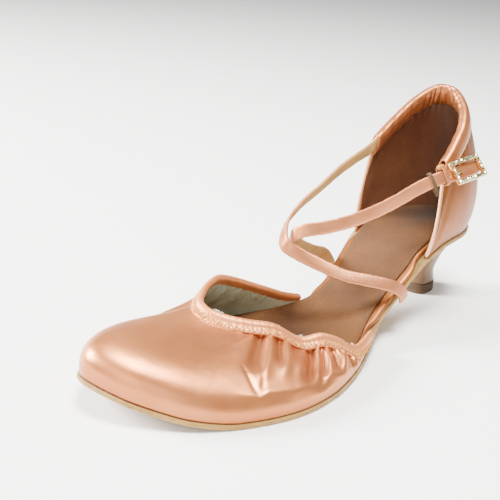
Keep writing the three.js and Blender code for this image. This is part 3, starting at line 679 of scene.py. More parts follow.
class Buckle:
    """The buckle's own axes and its strap."""

    def __init__(self) -> None:
        """Set the axes: x along the long side, y across it upwards, z outwards."""
        self.x = unit(BUCKLE_LONG)
        self.z = unit(BUCKLE_FACE)
        self.y = unit(np.cross(self.z, self.x))

    def at(self, x: float, y: float, z: float) -> Array:
        """A point given in the buckle's axes."""
        return BUCKLE_MIDDLE + self.x * x + self.y * y + self.z * z

    def strap(self, steps: int) -> Ribbon:
        """The buckle strap from the inner waist to its rounded end behind the buckle.

        Args:
            steps: Number of steps along it.

        Returns:
            Its path.
        """
        behind = [np.append(self.at(x, 0, -STRAP_UNDER_BUCKLE), self.z)
                  for x in (-BUCKLE_LENGTH / 2 - 1, -2, STRAP_END + TIP_REACH)]
        return ribbon(np.vstack([np.array(BUCKLE_STRAP_ROUTE), *behind]), steps)


# Meshes

WELD_DISTANCE = 0.00001
OFF_UPRIGHT = np.array([0.013, 0.017, 0.0])
STITCH_STEPS = 4
STITCH_HUMP = 0.9
STITCH_SINK = 0.4


def select_only(*pieces: Piece) -> None:
    """Select some pieces alone, and make the first one active.

    Args:
        pieces: The pieces.
    """
    bpy.ops.object.select_all(action="DESELECT")
    for piece in pieces:
        piece.select_set(True)
    bpy.context.view_layer.objects.active = pieces[0]


def weld() -> None:
    """Merge doubled points of the selection."""
    bpy.ops.mesh.remove_doubles(threshold=WELD_DISTANCE)


def face_outwards() -> None:
    """Turn the selected faces outwards."""
    bpy.ops.mesh.normals_make_consistent(inside=False)


def edit_all(*steps: Callable[[], None]) -> None:
    """Run steps of edit mode on the whole active mesh.

    Args:
        steps: The steps, in order.
    """
    bpy.ops.object.mode_set(mode="EDIT")
    bpy.ops.mesh.select_all(action="SELECT")
    for step in steps:
        step()
    bpy.ops.object.mode_set(mode="OBJECT")


def from_grid(name: str, grid: Array, uv: Array, wrap: bool = False) -> Piece:
    """Shape a grid primitive into a surface.

    Args:
        name: The piece's name.
        grid: Points in millimetres, rows by columns.
        uv: Distances along and across the surface in millimetres, rows by columns.
        wrap: Whether the columns close on themselves; the last then repeats the first.

    Returns:
        The piece, with its faces pointing outwards.
    """
    rows, columns = grid.shape[:2]
    bpy.ops.object.select_all(action="DESELECT")
    bpy.ops.mesh.primitive_grid_add(x_subdivisions=columns - 1, y_subdivisions=rows - 1, size=1)
    piece = bpy.context.object
    piece.name = piece.data.name = name
    mesh = piece.data
    mesh.vertices.foreach_set("co", (grid * MM).astype(np.float32).ravel())
    corner = np.zeros(len(mesh.loops), np.int32)
    mesh.loops.foreach_get("vertex_index", corner)
    flat = (uv * MM).reshape(-1, 2).astype(np.float32)
    mesh.uv_layers[0].data.foreach_set("uv", flat[corner].ravel())
    mesh.update()
    if wrap:
        edit_all(weld)
    bpy.ops.object.shade_smooth()
    return piece


def spread(grid: Array) -> Array:
    """Distances along the rows and columns of a grid.

    Args:
        grid: Points, rows by columns.

    Returns:
        Distance across the rows and along the columns for each point.
    """
    along = np.linalg.norm(np.diff(grid, axis=0), axis=2).cumsum(0)
    across = np.linalg.norm(np.diff(grid, axis=1), axis=2).cumsum(1)
    along = np.vstack([np.zeros((1, grid.shape[1])), along])
    across = np.hstack([np.zeros((grid.shape[0], 1)), across])
    return np.stack([along, across], 2)


def grid_normals(grid: Array) -> Array:
    """Normals of a grid, across the rows and then the columns.

    Args:
        grid: Points, rows by columns.

    Returns:
        Unit normals.
    """
    return unit(np.cross(np.gradient(grid, axis=1), np.gradient(grid, axis=0)))


def tube(name: str, path: Array, radius: Array | float, sides: int = 10) -> Piece:
    """Carry a round section along a path, with closed tapered ends.

    Args:
        name: The piece's name.
        path: Points in millimetres.
        radius: One radius for each point, or one for all.
        sides: Sides of the section.

    Returns:
        The piece.
    """
    along = unit(np.gradient(path, axis=0))
    side = unit(np.cross(along, UP + OFF_UPRIGHT))
    for n in range(1, len(path)):
        carried = side[n - 1] - along[n] * np.dot(side[n - 1], along[n])
        side[n] = carried / np.linalg.norm(carried)
    over = np.cross(along, side)
    angle = full_turn(sides)
    far = travelled(path)
    radius = np.broadcast_to(radius, len(path))
    taper = rounded(np.minimum(far, far[-1] - far), radius) * radius
    ring = np.cos(angle)[None, :, None] * side[:, None] + np.sin(angle)[None, :, None] * over[:, None]
    grid = path[:, None] + ring * taper[:, None, None]
    uv = np.stack(np.broadcast_arrays(far[:, None], angle[None, :] * radius[:, None]), 2)
    return from_grid(name, grid, uv, wrap=True)


def modify(piece: Piece, kind: str, **settings: object) -> None:
    """Add a modifier and apply it.

    Args:
        piece: The piece that takes it.
        kind: The modifier's type.
        settings: Its settings.
    """
    select_only(piece)
    modifier = piece.modifiers.new(kind.lower(), kind)
    for name, value in settings.items():
        setattr(modifier, name, value)
    bpy.ops.object.modifier_apply(modifier=modifier.name)


def join(name: str, pieces: list[Piece]) -> Piece:
    """Join pieces into one.

    Args:
        name: The joined piece's name.
        pieces: The pieces.

    Returns:
        The joined piece.
    """
    select_only(*pieces)
    if len(pieces) > 1:
        bpy.ops.object.join()
    pieces[0].name = pieces[0].data.name = name
    return pieces[0]


def clothe(piece: Piece, materials: list[Material]) -> None:
    """Give a piece its materials and leave its faces' indices as they are.

    Args:
        piece: The piece.
        materials: Its materials, in the order of its faces' indices.
    """
    index = np.zeros(len(piece.data.polygons), np.int32)
    piece.data.polygons.foreach_get("material_index", index)
    piece.data.materials.clear()
    for material in materials:
        piece.data.materials.append(material)
    piece.data.polygons.foreach_set("material_index", index)
    piece.data.update()


def line_wall(piece: Piece, materials: list[Material], thickness: float) -> None:
    """Give a face of cloth its thickness, with a lining on its inner side.

    Args:
        piece: The face.
        materials: The outer cloth and the lining.
        thickness: The wall's thickness.
    """
    clothe(piece, materials)
    modify(piece, "SOLIDIFY", thickness=thickness * MM, offset=-1.0, use_even_offset=True,
           material_offset=1, material_offset_rim=0, use_rim=True)


def settle(piece: Piece, materials: list[Material],
           replaces: tuple[str, ...] = ()) -> None:
    """Dress a finished piece and fix it to the shoe.

    Args:
        piece: The piece.
        materials: Its materials, in the order of its faces' indices.
        replaces: The solids that it stands for.
    """
    clothe(piece, materials)
    if replaces:
        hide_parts(*replaces)
    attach(piece, "root")
    piece.data.calc_loop_triangles()
    LOG.info("%s: %d triangles", piece.name, len(piece.data.loop_triangles))


def soil_and_shade(piece: Piece, values: Array | float) -> None:
    """Keep on a piece how far its points are darkened, by soiling and by painted shade.

    Args:
        piece: The piece.
        values: A share for each point, or one for all.
    """
    every = np.zeros(len(piece.data.vertices)) + np.ravel(values)
    layer = piece.data.attributes.new("soil_and_shade", "FLOAT", "POINT")
    layer.data.foreach_set("value", every.astype(np.float32))


def places_of(piece: Piece) -> Array:
    """The places of a piece's points.

    Args:
        piece: The piece.

    Returns:
        Its X, Y and Z in millimetres, in three rows.
    """
    flat = np.zeros(len(piece.data.vertices) * 3, np.float32)
    piece.data.vertices.foreach_get("co", flat)
    return (flat.reshape(-1, 3) / MM).T


def stitches(name: str, path: Array, outward: Array, pitch: float, length: float,
             radius: float) -> Piece:
    """A row of separate stitches along a path.

    Args:
        name: The piece's name.
        path: Points in millimetres on the cloth's face.
        outward: The face's direction at each point.
        pitch: From one stitch to the next.
        length: Length of one stitch.
        radius: Radius of the thread.

    Returns:
        The stitches as one piece.
    """
    far = travelled(path)
    share = shares(STITCH_STEPS)
    lift = radius * STITCH_HUMP * np.sin(math.pi * share)[:, None] - radius * STITCH_SINK
    rows = []
    for start in np.arange(pitch / 2, far[-1] - length, pitch):
        at = start + share * length
        place, face = (np.stack([np.interp(at, far, line[:, axis]) for axis in range(3)], 1)
                       for line in (path, outward))
        rows.append(tube(name, place + unit(face) * lift, radius, sides=6))
    return join(name, rows)


# Finishes

class Weave(Enum):
    """How a cloth's threads show."""

    SATIN = "satin"
    RIBBED = "ribbed"
    CANVAS = "canvas"


class Shader:
    """A material under construction, with short calls for its nodes."""

    MIX_SHARE, MIX_FIRST, MIX_SECOND, MIX_RESULT = 0, 6, 7, 2
    RIB_SCALE = 0.314

    def __init__(self, name: str) -> None:
        """Start a material with its main shader.

        Args:
            name: The material's name.
        """
        self.material = bpy.data.materials.new(name)
        self.material.use_nodes = True
        self.tree = self.material.node_tree
        self.surface = self.tree.nodes["Principled BSDF"]
        self.places = self.node("ShaderNodeTexCoord")

    def node(self, kind: str, inputs: dict[str | int, object] | None = None,
             **settings: object) -> bpy.types.Node:
        """Add a node.

        Args:
            kind: The node's type.
            inputs: Values or sockets for its inputs.
            settings: Its settings.

        Returns:
            The node.
        """
        made = self.tree.nodes.new(kind)
        for name, value in settings.items():
            setattr(made, name, value)
        for name, value in (inputs or {}).items():
            self.feed(made.inputs[name], value)
        return made

    def feed(self, socket: Socket, value: object) -> None:
        """Set a socket to a value or link it to another.

        Args:
            socket: The socket.
            value: A value or an output socket.
        """
        if isinstance(value, Socket):
            self.tree.links.new(value, socket)
        else:
            socket.default_value = value

    def shade(self, **inputs: object) -> None:
        """Feed the main shader's sockets, spaces written as underscores."""
        for name, value in inputs.items():
            self.feed(self.surface.inputs[name.replace("_", " ")], value)

    def stretched(self, along: float, across: float, cloth: bool) -> Socket:
        """Coordinates in millimetres, stretched.

        Args:
            along: Repeats for each millimetre along the cloth or X.
            across: Repeats for each millimetre across it.
            cloth: Whether to follow the piece's own cloth instead of the shoe.

        Returns:
            The coordinates.
        """
        source = self.places.outputs["UV" if cloth else "Object"]
        scale = (along / MM, across / MM, across / MM)
        return self.node("ShaderNodeMapping", {"Vector": source, "Scale": scale}).outputs[0]

    def noise(self, size: float, detail: float = 3.0, cloth: bool = False,
              stretch: float = 1.0, roughness: float = 0.5) -> Socket:
        """Cloudy noise.

        Args:
            size: Size of its clouds in millimetres.
            detail: Number of finer layers.
            cloth: Whether it follows the piece's own cloth.
            stretch: How many times longer the clouds are along the cloth.
            roughness: Strength of the finer layers.

        Returns:
            Its value.
        """
        where = self.stretched(1 / (size * stretch), 1 / size, cloth)
        inputs = {"Vector": where, "Scale": 1.0, "Detail": detail, "Roughness": roughness}
        return self.node("ShaderNodeTexNoise", inputs).outputs["Fac"]

    def ribs(self, pitch: float, along: bool = True, warp: float = 0.0) -> Socket:
        """Ribs that follow the cloth.

        Args:
            pitch: From one rib to the next in millimetres.
            along: Whether they follow each other along the cloth.
            warp: How uneven they are.

        Returns:
            Their height.
        """
        direction = "X" if along else "Y"
        inputs = {"Vector": self.stretched(1.0, 1.0, True), "Scale": self.RIB_SCALE / pitch,
                  "Distortion": warp, "Detail": 1.0}
        return self.node("ShaderNodeTexWave", inputs, bands_direction=direction).outputs["Fac"]

    def range(self, value: Socket, low: float, high: float,
              to_low: float = 0.0, to_high: float = 1.0) -> Socket:
        """Stretch a value from one range to another."""
        inputs = {"Value": value, "From Min": low, "From Max": high, "To Min": to_low, "To Max": to_high}
        return self.node("ShaderNodeMapRange", inputs).outputs[0]

    def mix(self, share: object, first: object, second: object) -> Socket:
        """Mix two colours, the second by the given share."""
        inputs = {self.MIX_SHARE: share, self.MIX_FIRST: first, self.MIX_SECOND: second}
        return self.node("ShaderNodeMix", inputs, data_type="RGBA").outputs[self.MIX_RESULT]

    def times(self, first: object, second: object) -> Socket:
        """Multiply two values."""
        return self.node("ShaderNodeMath", {0: first, 1: second}, operation="MULTIPLY").outputs[0]

    def plus(self, first: object, second: object) -> Socket:
        """Add two values."""
        return self.node("ShaderNodeMath", {0: first, 1: second}, operation="ADD").outputs[0]

    def attribute(self, name: str) -> Socket:
        """A value painted on the piece."""
        return self.node("ShaderNodeAttribute", attribute_name=name).outputs["Fac"]

    def emboss(self, height: object, depth: float, under: object = None) -> Socket:
        """Turn a height into relief.

        Args:
            height: The height from 0 to 1.
            depth: Its depth in millimetres.
            under: Relief that it lies on.

        Returns:
            The normal.
        """
        inputs = {"Height": height, "Distance": depth * MM, "Strength": 1.0}
        if under is not None:
            inputs["Normal"] = under
        return self.node("ShaderNodeBump", inputs).outputs[0]


Colour = tuple[int, int, int]


def tone(colour: Colour) -> tuple[float, float, float, float]:
    """A colour in the renderer's scale.

    Args:
        colour: Red, green and blue from 0 to 255, as a screen shows them.

    Returns:
        Red, green, blue and full cover from 0 to 1.
    """
    def linear(value: int) -> float:
        """One channel in the renderer's scale."""
        share = value / 255
        return share / 12.92 if share <= 0.04045 else ((share + 0.055) / 1.055) ** 2.4

    return *(linear(value) for value in colour), 1.0


@dataclass(frozen=True)
class Cloth:
    """A woven cloth: its colours, gloss and weave."""

    name: str
    colour: Colour
    second: Colour
    soil_and_shade: Colour
    weave: Weave
    roughness: float = 0.4
    gloss: float = 0.5
    sheen: float = 0.05
    pitch: float = 0.3
    lustre: float = 0.0
    CLOUDS: ClassVar[float] = 0.75
    FINE: ClassVar[float] = 0.25
    SPECKS: ClassVar[float] = 0.03
    SHEEN_TINT: ClassVar[tuple[float, ...]] = (1.0, 0.86, 0.76, 1.0)

    def make(self) -> Material:
        """Build the material.

        Returns:
            The material.
        """
        shader = Shader(self.name)
        first, second, dirt_and_shade = tone(self.colour), tone(self.second), tone(self.soil_and_shade)
        clouds = shader.range(shader.noise(9.0, 4.0), 0.35, 0.68)
        fine = shader.range(shader.noise(1.3, 3.0, stretch=4.0, cloth=True), 0.45, 0.8)
        specks = shader.range(shader.noise(3.2, 5.0, roughness=0.65), 0.58, 0.78)
        # The value kept on each piece holds soiling together with painted shade; the specks add dirt.
        grime_and_shade = shader.plus(shader.attribute("soil_and_shade"), shader.times(specks, self.SPECKS))
        colour = shader.mix(shader.times(clouds, self.CLOUDS), first, second)
        colour = shader.mix(shader.times(fine, self.FINE), colour, second)
        colour = shader.mix(grime_and_shade, colour, dirt_and_shade)
        rough = shader.range(shader.noise(0.35, 2.0, cloth=True, stretch=6.0), 0.2, 0.8,
                             self.roughness - 0.05, self.roughness + 0.08)
        shader.shade(Base_Color=colour, Specular_IOR_Level=self.gloss, Metallic=self.lustre,
                     Sheen_Weight=self.sheen, Sheen_Roughness=0.35, Sheen_Tint=self.SHEEN_TINT,
                     Roughness=rough)
        relief = shader.emboss(shader.noise(2.4, 3.0, cloth=True, stretch=2.0), 0.06)
        if self.weave is Weave.SATIN:
            shader.shade(Anisotropic=0.45)
            relief = shader.emboss(shader.ribs(self.pitch, along=False, warp=0.4), 0.006, relief)
        elif self.weave is Weave.RIBBED:
            ribs = shader.ribs(self.pitch, warp=0.8)
            relief = shader.emboss(ribs, 0.08, relief)
            shader.shade(Base_Color=shader.mix(shader.times(ribs, 0.12), colour, dirt_and_shade))
        else:
            for along in (True, False):
                relief = shader.emboss(shader.ribs(self.pitch, along, 0.6), 0.05, relief)
        shader.shade(Normal=relief)
        return shader.material


@dataclass(frozen=True)
class Hide:
    """Leather, suede or a covered surface: colours, roughness and grain."""

    name: str
    colour: Colour
    second: Colour
    soil_and_shade: Colour
    roughness: float
    grain: float
    depth: float
    patch: float = 14.0
    sheen: float = 0.0
    FLECKS: ClassVar[float] = 0.3
    GLOSS: ClassVar[float] = 0.28

    def make(self) -> Material:
        """Build the material.

        Returns:
            The material.
        """
        shader = Shader(self.name)
        dirt_and_shade = tone(self.soil_and_shade)
        patches = shader.range(shader.noise(self.patch, 4.0, roughness=0.6), 0.3, 0.7)
        flecks = shader.range(shader.noise(self.grain * 2.5, 5.0, roughness=0.7), 0.4, 0.75)
        colour = shader.mix(patches, tone(self.colour), tone(self.second))
        colour = shader.mix(shader.times(flecks, self.FLECKS), colour, dirt_and_shade)
        # The value kept on each piece: soiling together with painted shade.
        colour = shader.mix(shader.attribute("soil_and_shade"), colour, dirt_and_shade)
        rough = shader.range(shader.noise(self.grain * 4, 3.0), 0.3, 0.7,
                             self.roughness - 0.08, self.roughness + 0.05)
        shader.shade(Base_Color=colour, Roughness=rough, Sheen_Weight=self.sheen,
                     Specular_IOR_Level=self.GLOSS)
        relief = shader.emboss(shader.noise(self.grain, 4.0, roughness=0.6), self.depth)
        shader.shade(Normal=shader.emboss(shader.noise(self.patch / 2, 2.0), self.depth * 3, relief))
        return shader.material


@dataclass(frozen=True)
class Metal:
    """Plated metal or a foil-backed cut stone."""

    name: str
    colour: Colour
    second: Colour
    roughness: float
    patch: float = 3.0
    metallic: float = 1.0
    coat: float = 0.0

    def make(self) -> Material:
        """Build the material.

        Returns:
            The material.
        """
        shader = Shader(self.name)
        share = shader.range(shader.noise(self.patch, 2.0), 0.35, 0.65, 0.0, 0.3)
        # Painted glints on the stones' facets, added to the colour mix.
        share = shader.plus(share, shader.attribute("painted_glint"))
        colour = shader.mix(share, tone(self.colour), tone(self.second))
        rough = shader.range(shader.noise(0.8, 3.0), 0.3, 0.7, self.roughness * 0.7, self.roughness * 1.3)
        shader.shade(Base_Color=colour, Roughness=rough, Metallic=self.metallic,
                     Coat_Weight=self.coat, Coat_Roughness=0.03)
        shader.shade(Normal=shader.emboss(shader.noise(0.5, 2.0), 0.01))
        return shader.material


class Finishes:
    """Every material of the shoe."""

    def __init__(self) -> None:
        """Build the materials."""
        self.satin = Cloth(
            "satin", (202, 124, 70), (214, 138, 84), (126, 66, 32), Weave.SATIN,
            roughness=0.34, gloss=0.6, lustre=0.8).make()
        # Painted shade: a darker brown copy of the satin for the heel part and the board's rim, standing in
        # for their shade.
        self.counter = Cloth(
            "counter_satin_painted_shade", (142, 82, 38), (160, 98, 50), (92, 56, 34), Weave.SATIN,
            lustre=0.7).make()
        # Painted shade: a darker copy of the satin for the collar's tunnel.
        self.collar = Cloth(
            "collar_satin_painted_shade", (168, 100, 54), (186, 116, 68), (84, 42, 20), Weave.SATIN,
            roughness=0.36, lustre=0.7).make()
        self.strap = Cloth(
            "strap_satin", (200, 124, 78), (216, 142, 96), (122, 66, 34), Weave.RIBBED,
            roughness=0.34, pitch=0.62, lustre=0.72).make()
        self.tape = Cloth(
            "strap_lining", (182, 140, 80), (198, 158, 98), (116, 82, 42), Weave.RIBBED,
            roughness=0.8, gloss=0.25, pitch=0.7).make()
        self.binding = Cloth(
            "binding_satin", (206, 126, 70), (220, 144, 88), (128, 70, 34), Weave.SATIN,
            roughness=0.42, gloss=0.4, lustre=0.5).make()
        self.olive = Cloth(
            "keeper_elastic", (66, 46, 18), (90, 66, 28), (40, 26, 12), Weave.RIBBED,
            roughness=0.7, gloss=0.3, sheen=0.1, pitch=0.5).make()
        self.piping = Cloth(
            "piping", (232, 166, 128), (242, 186, 150), (160, 98, 62), Weave.SATIN,
            roughness=0.38, lustre=0.5).make()
        self.canvas = Cloth(
            "vamp_lining", (198, 198, 158), (220, 218, 184), (110, 106, 78), Weave.CANVAS,
            roughness=0.85, gloss=0.2, sheen=0.1, pitch=0.45).make()
        self.elastic = Cloth(
            "elastic", (168, 108, 44), (196, 138, 70), (96, 56, 20), Weave.RIBBED,
            roughness=0.6, gloss=0.3, sheen=0.1, pitch=0.5, lustre=0.3).make()
        self.thread = Cloth(
            "thread", (246, 218, 184), (252, 230, 204), (206, 160, 112), Weave.RIBBED,
            roughness=0.6, gloss=0.4, sheen=0.2, pitch=0.25).make()
        self.gilt = Cloth(
            "gilt_thread", (214, 152, 68), (238, 186, 108), (160, 100, 40), Weave.RIBBED,
            roughness=0.45, sheen=0.1, pitch=0.25, lustre=0.3).make()
        self.lining = Hide(
            "counter_lining", (82, 48, 29), (100, 62, 38), (52, 29, 17),
            roughness=0.62, grain=0.6, depth=0.05, patch=18.0).make()
        self.sock = Hide(
            "sock_leather", (88, 52, 16), (66, 38, 12), (28, 16, 8),
            roughness=0.72, grain=0.5, depth=0.04, patch=20.0).make()
        self.suede = Hide(
            "suede", (188, 148, 74), (160, 120, 56), (104, 76, 40),
            roughness=0.95, grain=0.35, depth=0.22, patch=5.0, sheen=0.3).make()
        # Painted shade: a dark brown for the heel's satin cover, which lies in shade.
        self.heel = Hide(
            "heel_cover", (132, 100, 68), (108, 80, 54), (64, 48, 36),
            roughness=0.42, grain=0.8, depth=0.03, patch=9.0).make()
        self.rubber = Hide(
            "tip_rubber", (78, 60, 44), (62, 48, 36), (96, 78, 58),
            roughness=0.8, grain=0.4, depth=0.05, patch=5.0).make()
        self.gold = Metal(
            "gold_plate", (226, 186, 108), (206, 160, 84),
            roughness=0.24).make()
        self.stone = Metal(
            "cut_stone", (240, 240, 204), (84, 92, 48),
            roughness=0.06, patch=1.2, metallic=0.85, coat=0.5).make()
        self.fluff = Cloth(
            "loose_thread", (226, 222, 204), (240, 238, 226), (180, 170, 140), Weave.RIBBED,
            roughness=0.8, gloss=0.2, sheen=0.4, pitch=0.2).make()


# The sole and what lies on it

@dataclass(frozen=True)
class Layer:
    """A layer of the sole: how it stands in from the outline, its levels and its rim's profile."""

    inset: Callable[[Array], Array]
    bottom: Callable[[Array], Array]
    top: Callable[[Array], Array]
    rim: Pairs

    def height(self, x: Array, up: float) -> Array:
        """Heights at x, a given share of the way up the layer."""
        return self.bottom(x) * (1 - up) + self.top(x) * up


# Rim profiles: millimetres in from the layer's edge, and shares of its height

ROUND_RIM = (
    (1.2, 0.0), (0.55, 0.08), (0.15, 0.25), (0.0, 0.5), (0.15, 0.75), (0.6, 0.92), (1.5, 1.0),
)
SQUARE_RIM = ((0.45, 0.0), (0.1, 0.1), (0.0, 0.3), (0.05, 0.6), (0.0, 0.85), (0.3, 1.0))
THIN_RIM = ((0.0, 0.0), (0.0, 0.5), (0.12, 0.8), (0.4, 1.0))


@dataclass
class Bottom:
    """The outsole, the board, the sock lining and the heel."""

    last: Last
    finishes: Finishes
    stations: int = 150
    columns: int = 13
    heel_sides: int = 96
    heel_levels: int = 60
    sock_bedding: float = 0.1
    fibres: int = 3600
    fibre_length: Pair = (0.25, 0.75)
    fibre_width: Pair = (0.05, 0.11)
    fibre_seed: int = 7
    tip_seam: float = 0.12
    tip_front: float = 9.1
    tip_back: float = -9.3
    tip_half: float = 8.85

    def build(self) -> None:
        """Make and dress every piece of the bottom."""
        last = self.last
        self.outsole(Layer(lambda x: 0 * x, last.floor, last.sole_top, SQUARE_RIM))
        self.board(Layer(last.board_inset, lambda x: last.sole_top(x) + GAP, last.board_top, ROUND_RIM))
        self.sock(Layer(last.sock_inset, lambda x: last.board_top(x) + self.sock_bedding,
                        last.sock_top, THIN_RIM))
        self.heel()

    def ring(self, layer: Layer, side: float, inset: float, up: float) -> Array:
        """One line of a layer's rim along one side, from the toe to the heel.

        Args:
            layer: The layer.
            side: 1 for the outer side, -1 for the inner one.
            inset: Millimetres in from the layer's edge.
            up: Share of the layer's height.

        Returns:
            The line's points.
        """
        place = 0.5 * (1 - np.cos(math.pi * shares(self.stations))) / 2
        near_x = self.last.edge(place)[:, 0]
        point = self.last.edge(side * place, layer.inset(near_x) + inset)
        point[0, 1], point[-1, 1] = TOE[1], HEEL_BACK[1]
        point[:, 2] = layer.height(point[:, 0], up)
        return point

    def across(self, layer: Layer, inset: float, up: float) -> list[Array]:
        """Lines across a layer's face from the outer to the inner side.

        Args:
            layer: The layer.
            inset: Millimetres in from the layer's edge.
            up: Share of the layer's height.

        Returns:
            The lines.
        """
        start, end = (self.ring(layer, side, inset, up) for side in (1, -1))
        lines = [start * (1 - share) + end * share for share in shares(self.columns - 1)]
        for line in lines:
            line[:, 2] = layer.height(line[:, 0], up)
        return lines

    def plate(self, name: str, layer: Layer) -> Piece:
        """Loft a layer round the outline.

        Args:
            name: The piece's name.
            layer: The layer.

        Returns:
            The piece.
        """
        under, above = (self.across(layer, *step) for step in (layer.rim[0], layer.rim[-1]))
        outer, inner = ([self.ring(layer, side, *step) for step in layer.rim[1:-1]] for side in (1, -1))
        half = self.columns // 2
        grid = np.stack(under[half:] + inner + above[::-1] + outer[::-1] + under[:half + 1], 1)
        return from_grid(name, grid, grid[..., :2], wrap=True)

    def outsole(self, layer: Layer) -> None:
        """The suede sole with its rough cut edge and nap.

        Args:
            layer: The sole's layer.
        """
        sole = self.plate("suede_outsole", layer)
        x, _, z = places_of(sole)
        rim = np.abs(z - self.last.floor(x) - SOLE / 2) < SOLE * 0.45
        soil_and_shade(sole, np.where(rim, 0.15, 0.5))
        settle(sole, [self.finishes.suede], ("outsole",))
        settle(self.nap(), [self.finishes.suede])

    def nap(self) -> Piece:
        """Short fibres along the sole's cut edge.

        Returns:
            The fibres as one piece.
        """
        rng = np.random.default_rng(self.fibre_seed)
        count = self.fibres
        place = rng.uniform(-0.5, 0.5, count)
        foot = self.last.edge(place, 0.05)
        foot[:, 2] = self.last.floor(foot[:, 0]) + rng.uniform(0.15, SOLE - 0.1, count)
        out = self.last.outwards(place)
        along = np.stack([-out[:, 1], out[:, 0], 0 * out[:, 0]], 1)
        lean = unit(out + along * rng.normal(0, 0.7, (count, 1)) + UP * rng.normal(0.1, 0.5, (count, 1)))
        tip = foot + lean * rng.uniform(*self.fibre_length, (count, 1))
        tip[:, 2] = np.maximum(tip[:, 2], 0.05)
        wide = rng.uniform(*self.fibre_width, (count, 1))
        behind, above = foot - along * wide * 0.5, UP * wide * 0.8
        corners = np.stack([foot + along * wide, behind + above, behind - above, tip], 1)
        faces = np.array([(0, 1, 3), (1, 2, 3), (2, 0, 3), (0, 2, 1)])
        index = (np.arange(count)[:, None, None] * 4 + faces[None]).reshape(-1, 3)
        bpy.ops.object.select_all(action="DESELECT")
        bpy.ops.mesh.primitive_plane_add(size=MM)
        nap = bpy.context.object
        nap.name = nap.data.name = "suede_nap"
        nap.data.clear_geometry()
        nap.data.from_pydata((corners.reshape(-1, 3) * MM).tolist(), [], index.tolist())
        return nap

    def board(self, layer: Layer) -> None:
        """The board, covered in satin where the waist is open.

        Args:
            layer: The board's layer.
        """
        board = self.plate("satin_board", layer)
        x, _, z = places_of(board)
        low = self.last.sole_top(x) + GAP
        soil_and_shade(board, 0.35 * np.clip(1 - (z - low) / 1.3, 0, 1))
        settle(board, [self.finishes.counter], ("insole_board",))

    def sock(self, layer: Layer) -> None:
        """The worn leather sock, darker at the heel, the ball and the toe: painted shade under the heel part
        and the toe part, together with wear.

        Args:
            layer: The sock's layer.
        """
        sock = self.plate("leather_sock", layer)
        x, y, _ = places_of(sock)
        heel = np.exp(-((x - 4) / 26) ** 2 - ((y - 4) / 17) ** 2)
        ball = np.exp(-((x - 118) / 27) ** 2 - ((y - 12) / 26) ** 2)
        toe = smooth((x - 130) / 30)
        soil_and_shade(sock, np.clip(0.95 * heel + 0.7 * ball + 0.5 * toe, 0, 0.95))
        settle(sock, [self.finishes.sock], ("sock_lining",))

    def heel(self) -> None:
        """The flared heel block and its tip."""
        table = named(HEEL_COLUMNS, HEEL_ROWS)
        level = shares(self.heel_levels)
        read = {name: Column(table["level"], table[name])(level) for name in HEEL_COLUMNS[1:]}
        block = self.block("heel_block_cover", read, level, TIP_THICKNESS + self.tip_seam)
        soil_and_shade(block, 0.4 * smooth(1 - (places_of(block)[2] - 5) / 9))
        settle(block, [self.finishes.heel], ("heel_block",))
        profile = np.array([0.0, 0.03, 0.1, 0.5, 0.9, 0.97, 1.0])
        shrink = np.array([0.35, 0.1, 0.0, 0.0, 0.0, 0.1, 0.35])
        sizes = {"front": self.tip_front, "back": self.tip_back, "half": self.tip_half, "shift": 0.0}
        read = {name: size - shrink * np.sign(size) for name, size in sizes.items()}
        tip = self.block("heel_tip_rubber", read, profile, 0.0, TIP_THICKNESS)
        soil_and_shade(tip, 0.5 * smooth(1 - places_of(tip)[2] / 1.5))
        settle(tip, [self.finishes.rubber], ("heel_tip",))

    def block(self, name: str, read: dict[str, Array], level: Array, bottom: float,
              top: float | None = None) -> Piece:
        """Loft a D-shaped block with closed ends.

        Args:
            name: The piece's name.
            read: Front, back, half width and shift at each level.
            level: Shares of the height.
            bottom: Height of the lowest level.
            top: Height of the highest level, or None to meet the sole.

        Returns:
            The piece.
        """
        angle = full_turn(self.heel_sides) + math.pi / self.heel_sides
        cosine, sine = np.cos(angle), np.sin(angle)
        front, back, half, shift = (read[key][:, None] for key in ("front", "back", "half", "shift"))
        middle = front - 0.88 * half
        reach = np.where(cosine > 0, front - middle, middle - back)
        bulge = np.where(cosine > 0, np.abs(cosine) ** 0.45, -np.abs(cosine))
        x = middle + bulge * reach
        y = HEEL_CENTRE_Y + shift + sine * half
        high = self.last.floor(x) - HEEL_BEDDING if top is None else np.full_like(x, top)
        z = bottom + (high - bottom) * level[:, None]
        grid = np.stack([x, y, z], 2)
        caps = []
        for row, share in ((0, 0.0), (0, 0.5), (-1, 0.5), (-1, 0.0)):
            centre = grid[row].mean(0)
            ring = centre + (grid[row] - centre) * share
            if row == -1 and top is None:
                ring[:, 2] = self.last.floor(ring[:, 0]) - HEEL_BEDDING
            caps.append(ring[None])
        grid = np.concatenate([*caps[:2], grid, *caps[2:]])
        return from_grid(name, grid, spread(grid), wrap=True)


# The toe part

# Creases: share along and millimetres below the rim at start and end, both widths, and the depth

